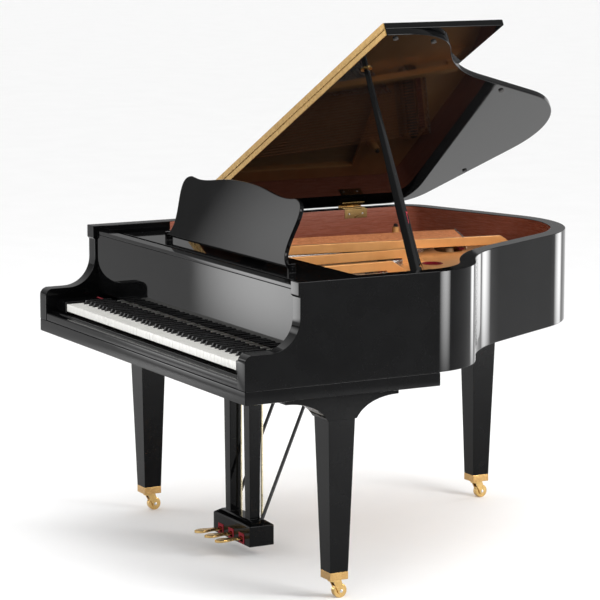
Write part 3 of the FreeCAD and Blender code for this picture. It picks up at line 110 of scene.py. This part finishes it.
def mottle(tree, field, dark, light):
    """Colour that follows the noise from dark to light."""
    return ramp(tree, field, ((NOISE_LOW, dark), (NOISE_HIGH, light)))


def relief(tree, shader, height, strength, depth):
    """Fine relief on the shader's surface."""
    bump = add(tree, "ShaderNodeBump", {"Height": height, "Strength": strength, "Distance": depth})
    tree.links.new(bump.outputs[0], shader.inputs["Normal"])


def finish(name, dark, light, scale, rough, bump, stretch=(1, 1, 1), **sockets):
    """A surface whose colour and gloss vary, with a fine relief given as scale, strength and depth."""
    material, tree, shader = graph(name)
    field = noise(tree, scale, stretch)
    tree.links.new(mottle(tree, field, dark, light), shader.inputs["Base Color"])
    tree.links.new(spread(tree, noise(tree, scale * 2.3, stretch), *rough), shader.inputs["Roughness"])
    fine, strength, depth = bump
    relief(tree, shader, noise(tree, fine, stretch, 6.0), strength, depth)
    for key, value in sockets.items():
        shader.inputs[key.replace("_", " ")].default_value = value
    return material


def layered(name, axis, level, width, below, above, scale, rough, bump):
    """Two colours that meet at a level on one axis, each with its own variation."""
    material, tree, shader = graph(name)
    field = noise(tree, scale)
    where = add(tree, "ShaderNodeTexCoord").outputs["Object"]
    split = add(tree, "ShaderNodeSeparateXYZ", {0: where}).outputs[axis]
    inputs = {"Value": split, "From Min": level - width, "From Max": level + width}
    share = add(tree, "ShaderNodeMapRange", inputs).outputs[0]
    first = mottle(tree, field, *below)
    second = mottle(tree, field, *above)
    mix = add(tree, "ShaderNodeMix", data_type="RGBA")
    tree.links.new(share, mix.inputs["Factor"])
    tree.links.new(first, mix.inputs["A"])
    tree.links.new(second, mix.inputs["B"])
    tree.links.new(mix.outputs["Result"], shader.inputs["Base Color"])
    tree.links.new(spread(tree, noise(tree, scale * 3), *rough), shader.inputs["Roughness"])
    fine, strength, depth = bump
    relief(tree, shader, noise(tree, fine), strength, depth)
    return material


# Materials

LACQUER = finish(
    "black_lacquer", (0.002, 0.002, 0.0022), (0.0035, 0.0036, 0.0038), 9, (0.03, 0.05), (30, 0.012, 0.001),
    Specular_IOR_Level=0.1,
)
MAHOGANY = finish(
    "mahogany_veneer", (0.28, 0.082, 0.048), (0.40, 0.130, 0.082), 14, (0.22, 0.32), (240, 0.05, 0.0003),
    stretch=(1, 1, 14), Specular_IOR_Level=0.3,
)
BRONZE = finish(
    "bronze_paint", (0.74, 0.345, 0.110), (0.86, 0.430, 0.150), 14, (0.3, 0.4), (900, 0.05, 0.0002),
    Metallic=0.3,
)
BRASS = finish(
    "polished_brass", (0.56, 0.36, 0.13), (0.72, 0.49, 0.20), 45, (0.16, 0.30), (600, 0.06, 0.0002),
    Metallic=1.0,
)
HINGE_BRASS = finish(
    "hinge_brass", (0.33, 0.20, 0.065), (0.44, 0.28, 0.10), 45, (0.22, 0.36), (600, 0.06, 0.0002),
    Metallic=1.0,
)
# Hinge brass darkened with painted shade: the case-side hinge leaves and the rim's fittings get this darker
# copy of the hinge metal.
BRASS_PAINTED_SHADE = finish(
    "brass_painted_shade", (0.19, 0.120, 0.045), (0.26, 0.170, 0.068), 18, (0.26, 0.36), (300, 0.03, 0.0002),
    Metallic=1.0,
)
FERRULE_BRASS = finish(
    "ferrule_brass", (0.44, 0.265, 0.10), (0.54, 0.34, 0.135), 45, (0.18, 0.32), (600, 0.06, 0.0002),
    Metallic=1.0,
)
STEEL = finish(
    "steel_wire", (0.50, 0.50, 0.50), (0.68, 0.67, 0.65), 80, (0.2, 0.34), (900, 0.08, 0.0002),
    Metallic=1.0,
)
RED_FELT = finish(
    "red_felt", (0.17, 0.004, 0.012), (0.30, 0.012, 0.024), 160, (0.85, 0.98), (1400, 0.7, 0.0006),
    Sheen_Weight=0.1, Specular_IOR_Level=0.1,
)
MAPLE = finish(
    "bare_maple", (0.50, 0.33, 0.18), (0.66, 0.48, 0.29), 12, (0.42, 0.6), (320, 0.14, 0.0004),
    stretch=(14, 1, 14),
)
SPRUCE = finish(
    "spruce", (0.50, 0.30, 0.13), (0.66, 0.44, 0.22), 60, (0.3, 0.42), (300, 0.12, 0.0003),
    stretch=(4, 0.25, 1),
)
BLACK_PLASTIC = finish(
    "black_plastic", (0.007, 0.007, 0.0075), (0.014, 0.014, 0.015), 70, (0.24, 0.36), (900, 0.10, 0.0003),
)
BLACK_METAL = finish(
    "black_metal", (0.008, 0.008, 0.009), (0.018, 0.018, 0.019), 50, (0.25, 0.4), (700, 0.10, 0.0003),
)
ROD = finish(
    "pedal_rod", (0.55, 0.47, 0.30), (0.72, 0.64, 0.44), 40, (0.25, 0.4), (500, 0.08, 0.0003), Metallic=0.4,
)
RUBBER = finish(
    "button_rubber", (0.012, 0.012, 0.012), (0.03, 0.03, 0.03), 120, (0.5, 0.7), (1200, 0.2, 0.0003),
)
# Levels in metres where a material changes on one piece.
KEY_REAR = -0.55
BRIDGE_CAP = 0.889
KEY_RAIL_FRONT = -0.7
DAMPER_FELT_TOP = 0.906
BLOCK_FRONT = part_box("pin_block")[0].y + 0.0025
IVORY = layered(
    "white_key", 1, KEY_REAR, 0.002, ((0.80, 0.79, 0.75), (0.87, 0.86, 0.82)),
    ((0.48, 0.33, 0.19), (0.62, 0.45, 0.28)), 30, (0.12, 0.22), (700, 0.05, 0.0002),
)
BRIDGE = layered(
    "bridge_wood", 2, BRIDGE_CAP, 0.002, ((0.34, 0.19, 0.09), (0.48, 0.29, 0.15)),
    ((0.010, 0.010, 0.011), (0.022, 0.022, 0.024)), 40, (0.4, 0.55), (500, 0.12, 0.0003),
)
KEY_RAILS = layered(
    "key_frame_wood", 1, KEY_RAIL_FRONT, 0.002, ((0.010, 0.010, 0.010), (0.020, 0.019, 0.018)),
    ((0.48, 0.33, 0.19), (0.62, 0.45, 0.28)), 30, (0.45, 0.6), (500, 0.1, 0.0003),
)
DAMPER = layered(
    "damper_head", 2, DAMPER_FELT_TOP, 0.001, ((0.66, 0.62, 0.55), (0.78, 0.75, 0.68)),
    ((0.008, 0.008, 0.009), (0.016, 0.016, 0.017)), 70, (0.3, 0.5), (900, 0.2, 0.0004),
)
PIN_BLOCK = layered(
    "pin_block_wood", 1, BLOCK_FRONT, 0.0004, ((0.004, 0.004, 0.0042), (0.007, 0.007, 0.0073)),
    ((0.50, 0.33, 0.18), (0.66, 0.48, 0.29)), 20, (0.2, 0.32), (400, 0.06, 0.0003),
)


def wound_string():
    """Copper winding: fine ridges across the length of the string."""
    material, tree, shader = graph("copper_winding")
    colours = mottle(tree, noise(tree, 60), (0.40, 0.145, 0.060), (0.58, 0.235, 0.105))
    tree.links.new(colours, shader.inputs["Base Color"])
    tree.links.new(spread(tree, noise(tree, 200), 0.36, 0.5), shader.inputs["Roughness"])
    inputs = {"Vector": place(tree), "Scale": 320.0}
    ridges = add(tree, "ShaderNodeTexWave", inputs, wave_type="BANDS", bands_direction="Y")
    relief(tree, shader, ridges.outputs["Fac"], 0.08, 0.0003)
    shader.inputs["Metallic"].default_value = 1.0
    return material


COPPER = wound_string()
SLOT_MATERIALS = {
    "ebony_polish": LACQUER,
    "bare_maple": MAPLE,
    "spruce": SPRUCE,
    "bridge_wood": BRIDGE,
    "bronze_paint": BRONZE,
    "steel_wire": STEEL,
    "copper_wire": COPPER,
    "damper_wood": DAMPER,
    "ivory_plastic": IVORY,
    "ebony_plastic": BLACK_PLASTIC,
    "black_metal": BLACK_METAL,
    "rod_metal": ROD,
    "brass_polish": BRASS,
    "button_rubber": RUBBER,
}
SLOT_OF = {}
for node_name, node_object in frame["nodes"].items():
    SLOT_OF[node_name] = node_object.material_slots[0].material.name
    node_object.material_slots[0].material = SLOT_MATERIALS[SLOT_OF[node_name]]

for other_node, other_material in (
    ("key_frame", KEY_RAILS), ("flap_hinge_leaf", HINGE_BRASS), ("lid_fittings", HINGE_BRASS),
    ("rim_fittings", BRASS_PAINTED_SHADE), ("pin_block", PIN_BLOCK),
):
    frame["nodes"][other_node].material_slots[0].material = other_material

# Meshes

WELD = 2e-5
FLAT = math.radians(0.4)
SHARP = math.radians(34)


def shown(name, bm, materials, body):
    """An object made of a mesh, riding on a body, with its round faces shaded round."""
    for face in bm.faces:
        face.smooth = True
    for edge in bm.edges:
        edge.smooth = len(edge.link_faces) == 2 and edge.calc_face_angle() < SHARP
    mesh = bpy.data.meshes.new(name)
    bm.to_mesh(mesh)
    bm.free()
    for material in materials:
        mesh.materials.append(material)
    piece = bpy.data.objects.new(name, mesh)
    bpy.context.scene.collection.objects.link(piece)
    normals = piece.modifiers.new("normals", "WEIGHTED_NORMAL")
    normals.keep_sharp = True
    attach(piece, body)
    return piece


def node_mesh(node):
    """Mesh of a CAD node with its corners joined and its flat faces whole."""
    bm = bmesh.new()
    bm.from_mesh(frame["nodes"][node].data)
    bmesh.ops.remove_doubles(bm, verts=bm.verts[:], dist=WELD)
    bmesh.ops.dissolve_limit(bm, angle_limit=FLAT, verts=bm.verts[:], edges=bm.edges[:])
    for face in bm.faces:
        face.material_index = 0
    return bm


def soften(bm, width, segments=2, inner=True):
    """Rounds every sharp edge of a mesh, the inner corners only where inner is set."""
    sharp = [e for e in bm.edges if len(e.link_faces) == 2 and e.calc_face_angle() > SHARP]
    if not inner:
        sharp = [e for e in sharp if e.is_convex]
    bmesh.ops.bevel(
        bm, geom=sharp, offset=width, offset_type="OFFSET", segments=segments, profile=0.5, affect="EDGES",
        clamp_overlap=False,
    )


def dressed(node, width, materials=None, segments=2, mark=None, inner=True):
    """Stands for a CAD node with rounded edges. mark sets the material of chosen faces."""
    bm = node_mesh(node)
    if mark:
        mark(bm)
    soften(bm, width, segments, inner)
    slot = SLOT_OF[node]
    piece = shown(f"{node}_shell", bm, materials or [SLOT_MATERIALS[slot]], BODY_OF[node])
    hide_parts(node)
    return piece


# Pieces with rounded edges

VENEER_START = -0.345
CASE_MIDDLE = Vector((-0.2, 0.1, 0))


def veneer(bm):
    """The inner wall behind the music desk is veneered."""
    geometry = bm.verts[:] + bm.edges[:] + bm.faces[:]
    bmesh.ops.bisect_plane(bm, geom=geometry, plane_co=(0, VENEER_START, 0), plane_no=(0, 1, 0))
    for face in bm.faces:
        centre = face.calc_center_median()
        inwards = (CASE_MIDDLE - centre).xy.dot(face.normal.xy) > 0
        if abs(face.normal.z) < 0.1 and inwards and centre.y > VENEER_START:
            face.material_index = 1


dressed("rim", 0.0024, [LACQUER, MAHOGANY], mark=veneer, inner=False)
EDGES = {
    0.0030: ("main_lid", "lid_flap", "keybed", "prop_stick"),
    0.0020: ("keyslip", "key_blocks", "fallboard", "music_desk", "lyre", "plate"),
    0.0015: (
        "leg_treble", "leg_bass", "leg_tail", "music_tray", "desk_rails", "lyre_braces", "fallboard_lip",
    ),
    0.0010: ("half_prop", "desk_strut", "dampers"),
}
for edge_width, edge_nodes in EDGES.items():
    for edge_node in edge_nodes:
        dressed(edge_node, edge_width)
dressed("leg_ferrules", 0.001, [FERRULE_BRASS])
for pedal_node in ("pedal_soft", "pedal_middle", "pedal_damper"):
    dressed(pedal_node, 0.0032, segments=4)
for side in ("treble", "bass", "tail"):
    dressed(f"caster_fork_{side}", 0.0012)
    dressed(f"caster_wheel_{side}", 0.0022, segments=3)
for key_node in frame["nodes"]:
    if key_node.startswith("key_") and SLOT_OF[key_node].endswith("_plastic"):
        dressed(key_node, 0.0014 if key_node.endswith("_sharp") else 0.0007)

# Small fittings

# Places and sizes in metres.
PLATE_TOP = 0.880
HOLES = ((0.004, 0.2709), (0.2492, 0.0691))
HOLE_RADIUS = 0.032
POST_PLACE = (-0.535, 0.449)
POST_HEIGHT = 0.050
SPINE_WALL = -0.695
BUTT_HINGES = ((-0.165, -0.075), (0.335, 0.425))
LEAF_LOW, LEAF_HIGH = 0.946, 0.9785
LEAF_THICKNESS = 0.0014
LEAF_SCREW = 0.961
PEDAL_SIDES = (-0.072, 0.0, 0.072)
BOX_FRONT = -0.471
# Half width, lower level and upper level.
PEDAL_FELT_OUTER = (0.018, 0.0425, 0.0765)
PEDAL_FELT_INNER = (0.0105, 0.0478, 0.0665)
PEDAL_FELT_THICKNESS = 0.0016
PAD_SIDES = ((-0.66, -0.618), (0.618, 0.66))
PAD_DEPTHS = (-0.636, -0.630)
PAD_HEIGHT = 0.0022
KEY_BLOCK_TOP = 0.744
# Length of a string that counts as its far end.
TIP = 0.003
# How far a screw head is sunk in its leaf.
SUNK = 0.0001
# Distance of the prop's outer face from its middle plane, and opposite corners of its felt strips.
PROP_FACE = 0.011
NOTCH_STRIPS = (((0.0025, 0.168), (0.0065, 0.2065)), ((0.0065, 0.2025), (0.0155, 0.2065)))


def turned(bm, profile, base, axis=(0, 0, 1), count=20, hollow=False):
    """Solid of revolution from pairs of radius and height. A hollow one closes on itself."""
    turn = Vector((0, 0, 1)).rotation_difference(Vector(axis)).to_matrix()
    rings = []
    for radius, height in profile:
        angles = [math.tau * index / count for index in range(count)]
        spots = [Vector((radius * math.cos(angle), radius * math.sin(angle), height)) for angle in angles]
        rings.append([bm.verts.new(Vector(base) + turn @ spot) for spot in spots])
    pairs = list(zip(rings, rings[1:]))
    if hollow:
        pairs.append((rings[-1], rings[0]))
    else:
        bm.faces.new(rings[0][::-1])
        bm.faces.new(rings[-1])
    for low, high in pairs:
        for index in range(count):
            after = (index + 1) % count
            bm.faces.new((low[index], low[after], high[after], high[index]))


def slab(bm, outline, rise):
    """Prism of a flat outline."""
    low = [bm.verts.new(point) for point in outline]
    high = [bm.verts.new(Vector(point) + Vector(rise)) for point in outline]
    faces = [bm.faces.new(low[::-1]), bm.faces.new(high)]
    for index in range(len(low)):
        after = (index + 1) % len(low)
        faces.append(bm.faces.new((low[index], low[after], high[after], high[index])))
    bmesh.ops.recalc_face_normals(bm, faces=faces)


def string_ends(node):
    """Far end of every string of a node."""
    bm = node_mesh(node)
    ends = []
    left = set(bm.verts)
    while left:
        island, ahead = set(), [left.pop()]
        while ahead:
            vert = ahead.pop()
            island.add(vert)
            others = [link.other_vert(vert) for link in vert.link_edges]
            ahead += [other for other in others if other not in island]
        left -= island
        last = max(vert.co.y for vert in island)
        tip = [vert.co for vert in island if last - vert.co.y < TIP]
        ends.append(sum(tip, Vector()) / len(tip))
    bm.free()
    return sorted(ends, key=lambda end: end.x)


def hitch_pins(plain, wound):
    """A pin behind the far end of every string."""
    bm = bmesh.new()
    for ends, radius, rise in ((plain, 0.0014, 0.003), (wound, 0.0022, 0.004)):
        for end in ends:
            height = end.z + rise - PLATE_TOP
            profile = ((radius, -0.001), (radius, height - radius / 2), (radius / 2, height))
            turned(bm, profile, (end.x, end.y + radius + 0.0012, PLATE_TOP), count=8)
    shown("hitch_pins", bm, [STEEL], "case")


def felt_strip(name, ends, near, far, top):
    """Felt on the plate that follows the far ends of the strings."""
    bm = bmesh.new()
    rows = []
    for end in ends:
        spots = ((far, PLATE_TOP), (far, top), (near, top), (near, PLATE_TOP))
        rows.append([bm.verts.new((end.x, end.y - shift, level)) for shift, level in spots])
    for first, second in zip(rows, rows[1:]):
        for index in range(4):
            after = (index + 1) % 4
            bm.faces.new((first[index], first[after], second[after], second[index]))
    bm.faces.new(rows[0])
    bm.faces.new(rows[-1][::-1])
    bmesh.ops.recalc_face_normals(bm, faces=bm.faces[:])
    soften(bm, 0.0008)
    shown(name, bm, [RED_FELT], "case")


def plate_post():
    """Bolt that holds the plate down, with a dark nut on a cast boss."""
    bm = bmesh.new()
    boss = (
        (0.020, -0.0005), (0.019, 0.003), (0.0145, 0.007),
        (0.0125, POST_HEIGHT - 0.002), (0.0115, POST_HEIGHT),
    )
    turned(bm, boss, (*POST_PLACE, PLATE_TOP), count=28)
    shown("plate_post", bm, [BRONZE], "case")
    bm = bmesh.new()
    nut = ((0.0075, 0.0), (0.0075, 0.007), (0.0062, 0.009), (0.003, 0.0105))
    turned(bm, nut, (*POST_PLACE, PLATE_TOP + POST_HEIGHT), count=6)
    soften(bm, 0.0006)
    shown("plate_post_nut", bm, [BLACK_PLASTIC], "case")


def hole_linings():
    """Felt round the edge of each hole of the plate."""
    bm = bmesh.new()
    wall = HOLE_RADIUS - 0.0002
    profile = (
        (wall, -0.006), (wall, 0.0005), (wall + 0.003, 0.0005), (wall + 0.003, 0.0015),
        (wall - 0.0005, 0.002), (wall - 0.0025, 0.001), (wall - 0.0025, -0.006),
    )
    for x, y in HOLES:
        turned(bm, profile[::-1], (x, y, PLATE_TOP), count=40, hollow=True)
    shown("plate_hole_felt", bm, [RED_FELT], "case")


def screw(bm, place, axis, radius=0.0038):
    """Domed screw head."""
    profile = ((radius, 0.0), (radius, 0.0004), (radius * 0.8, 0.0011), (radius * 0.4, 0.0015))
    turned(bm, profile, place, axis, count=14)


def hinge_aprons():
    """Leaf of each spine hinge that turns down over the inner face of the case, with its screws."""
    bm = bmesh.new()
    for start, end in BUTT_HINGES:
        corners = ((start, LEAF_LOW), (end, LEAF_LOW), (end, LEAF_HIGH), (start, LEAF_HIGH))
        slab(bm, [(SPINE_WALL, y, z) for y, z in corners], (LEAF_THICKNESS, 0, 0))
    soften(bm, 0.0005)
    # These leaves take the brass with painted shade, darker than the hinge leaves on the lid.
    shown("spine_hinge_leaves", bm, [BRASS_PAINTED_SHADE], "case")
    bm = bmesh.new()
    for start, end in BUTT_HINGES:
        for share in (0.2, 0.8):
            spot = (SPINE_WALL + LEAF_THICKNESS - SUNK, start + share * (end - start), LEAF_SCREW)
            screw(bm, spot, (1, 0, 0))
    shown("spine_hinge_screws", bm, [STEEL], "case")


def pedal_felts():
    """Felt round the slot of each pedal."""
    bm = bmesh.new()
    for x in PEDAL_SIDES:
        rings = []
        for half, base, top in (PEDAL_FELT_OUTER, PEDAL_FELT_INNER):
            corners = ((-half, base), (half, base), (half, top), (-half, top))
            for depth in (0.0, -PEDAL_FELT_THICKNESS):
                rings.append([bm.verts.new((x + side, BOX_FRONT + depth, z)) for side, z in corners])
        for first, second in ((0, 1), (1, 3), (3, 2), (2, 0)):
            for index in range(4):
                after = (index + 1) % 4
                low, high = rings[first], rings[second]
                bm.faces.new((low[index], low[after], high[after], high[index]))
    bmesh.ops.recalc_face_normals(bm, faces=bm.faces[:])
    soften(bm, 0.0004)
    shown("pedal_felts", bm, [RED_FELT], "case")


def axle_rivets():
    """Rivet heads on the cheeks of each caster fork."""
    cheek = 0.0155
    profile = ((0.0052, -0.0003), (0.0052, 0.0006), (0.0044, 0.0016), (0.0022, 0.0021))
    for side in ("treble", "bass", "tail"):
        low, high = (Vector(corner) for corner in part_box(f"caster_wheel_{side}"))
        middle = (low + high) / 2
        bm = bmesh.new()
        for way in (-1, 1):
            turned(bm, profile, middle + Vector((way * cheek, 0, 0)), (way, 0, 0), count=18)
        shown(f"axle_rivets_{side}", bm, [STEEL], f"fork_{side}")


def block_pads():
    """Felt on the key blocks, under the closed fallboard."""
    bm = bmesh.new()
    front, rear = PAD_DEPTHS
    for low, high in PAD_SIDES:
        outline = ((low, front), (high, front), (high, rear), (low, rear))
        slab(bm, [(x, y, KEY_BLOCK_TOP) for x, y in outline], (0, 0, PAD_HEIGHT))
    soften(bm, 0.0007)
    shown("key_block_felts", bm, [RED_FELT], "case")


def notch_felt():
    """Felt round the top of the half prop's rebate, on the face of the prop that looks outwards."""
    joints = {joint["name"]: joint for joint in frame["record"]["behaviour"]["joints"]}
    foot = Vector(joints["prop_swing"]["pos_m"])
    across = -Vector(joints["half_prop_swing"]["axis"]).normalized()
    outwards = -Vector(joints["prop_swing"]["axis"]).normalized()
    upwards = across.cross(-outwards)
    bm = bmesh.new()
    for (left, low), (right, high) in NOTCH_STRIPS:
        corners = ((left, low), (right, low), (right, high), (left, high))
        start = foot + outwards * (PROP_FACE - 0.0002)
        slab(bm, [start + across * x + upwards * z for x, z in corners], outwards * 0.001)
    soften(bm, 0.0003)
    shown("prop_notch_felt", bm, [RED_FELT], "prop")


plain_ends = string_ends("strings_plain")
wound_ends = string_ends("strings_wound")
hitch_pins(plain_ends, wound_ends)
felt_strip("string_felt", plain_ends, near=0.003, far=0.013, top=0.8912)
felt_strip("bass_string_felt", wound_ends, near=0.004, far=0.026, top=0.8845)
plate_post()
hole_linings()
hinge_aprons()
pedal_felts()
axle_rivets()
block_pads()
notch_felt()

# Stage

# Picture and focal length in pixels, sensor in millimetres, place in metres, angles in degrees.
IMAGE_SIDE = 600
FOCAL_PIXELS = 2686
SENSOR = 36.0
CAMERA_PLACE = (7.4557, -4.2742, 2.1335)
CAMERA_AZIMUTH = 61.47
CAMERA_ELEVATION = 8.96


def make_camera():
    """A camera with the place and the field of view of the photograph."""
    data = bpy.data.cameras.new("camera")
    data.sensor_width = SENSOR
    data.lens = FOCAL_PIXELS / IMAGE_SIDE * SENSOR
    data.clip_end = 300
    camera = bpy.data.objects.new("camera", data)
    camera.location = CAMERA_PLACE
    camera.rotation_euler = (math.radians(90 - CAMERA_ELEVATION), 0, math.radians(CAMERA_AZIMUTH))
    bpy.context.scene.collection.objects.link(camera)
    bpy.context.scene.camera = camera


FLOOR_RADIUS = 60.0
BANK_SPREAD = 1.3
BANK_HEIGHT = 7.5
FLOOR = finish("floor", (0.90, 0.90, 0.90), (0.92, 0.92, 0.92), 3, (0.85, 0.95), (90, 0.02, 0.001))
# Light of the studio by height, from the horizon to straight above.
SKY = ((0.0, 0.22), (0.22, 0.38), (0.5, 1.02), (1.0, 1.28))
# Brings a lamp that fades towards its sides back to its full power.
LAMP_PEAK = 36.0
# Place, target, size and power of each lamp.
LAMPS = {
    "overhead": ((-0.6, -0.6, 4.6), (0, 0, 0.8), (3.6, 3.6), 46),
    "key_light": ((4.2, -4.6, 2.7), (-0.3, 0.1, 0.85), (2.2, 2.2), 28),
    "inside_light": ((3.2, 1.2, 2.3), (-0.4, 0.2, 0.9), (1.4, 1.4), 56),
    "fallboard_strip": ((-2.8, -2.4, 0.42), (-2.8, 0.0, 0.42), (1.6, 0.8), 14),
    "desk_strip": ((-3.0, -2.4, 1.8), (-3.0, 0.0, 1.8), (2.4, 1.0), 11),
    "side_strip": ((2.82, 2.03, 0.75), (0.74, -0.13, 0.75), (1.05, 1.4), 90),
    "tail_strip": ((-0.56, 2.99, 0.55), (0.42, 0.15, 0.55), (0.9, 1.1), 12),
}


def make_floor():
    """A pale floor that rises gently far away."""
    bm = bmesh.new()
    bmesh.ops.create_circle(bm, cap_ends=True, segments=96, radius=FLOOR_RADIUS)
    bank = bmesh.ops.extrude_edge_only(bm, edges=bm.edges[:])["geom"]
    for vert in (item for item in bank if isinstance(item, bmesh.types.BMVert)):
        vert.co = (vert.co.x * BANK_SPREAD, vert.co.y * BANK_SPREAD, BANK_HEIGHT)
    mesh = bpy.data.meshes.new("floor")
    bm.to_mesh(mesh)
    bm.free()
    mesh.materials.append(FLOOR)
    floor = bpy.data.objects.new("floor", mesh)
    bpy.context.scene.collection.objects.link(floor)


def make_lamp(name, position, target, size, power):
    """A rectangular lamp that looks at a point and fades towards its sides."""
    data = bpy.data.lights.new(name, "AREA")
    data.shape = "RECTANGLE"
    data.size, data.size_y = size
    data.energy = power
    data.use_nodes = True
    tree = data.node_tree
    tree.nodes.clear()
    across = add(tree, "ShaderNodeNewGeometry").outputs["Parametric"]
    split = add(tree, "ShaderNodeSeparateXYZ", {0: across})
    share = 1.0
    for output in split.outputs[:2]:
        rest = add(tree, "ShaderNodeMath", {0: 1.0, 1: output}, operation="SUBTRACT").outputs[0]
        bow = add(tree, "ShaderNodeMath", {0: output, 1: rest}, operation="MULTIPLY").outputs[0]
        share = add(tree, "ShaderNodeMath", {0: bow, 1: share}, operation="MULTIPLY").outputs[0]
    strength = add(tree, "ShaderNodeMath", {0: share, 1: LAMP_PEAK}, operation="MULTIPLY").outputs[0]
    glow = add(tree, "ShaderNodeEmission", {"Strength": strength})
    output = add(tree, "ShaderNodeOutputLight")
    tree.links.new(glow.outputs[0], output.inputs[0])
    lamp = bpy.data.objects.new(name, data)
    lamp.location = position
    lamp.rotation_euler = (Vector(target) - Vector(position)).to_track_quat("-Z", "Y").to_euler()
    bpy.context.scene.collection.objects.link(lamp)


def make_world():
    """A studio with a bright ceiling and dim walls."""
    world = bpy.data.worlds.new("studio")
    world.use_nodes = True
    tree = world.node_tree
    tree.nodes.clear()
    where = add(tree, "ShaderNodeTexCoord").outputs["Generated"]
    height = add(tree, "ShaderNodeSeparateXYZ", {0: where}).outputs[2]
    sky = ramp(tree, height, [(level, (glow, glow, glow)) for level, glow in SKY])
    light = add(tree, "ShaderNodeBackground", {"Color": sky, "Strength": 1.0})
    output = add(tree, "ShaderNodeOutputWorld")
    tree.links.new(light.outputs[0], output.inputs[0])
    bpy.context.scene.world = world


make_camera()
make_floor()
make_world()
for lamp_name, lamp_values in LAMPS.items():
    make_lamp(lamp_name, *lamp_values)

bpy.context.scene.view_settings.view_transform = "Standard"
bpy.context.view_layer.update()
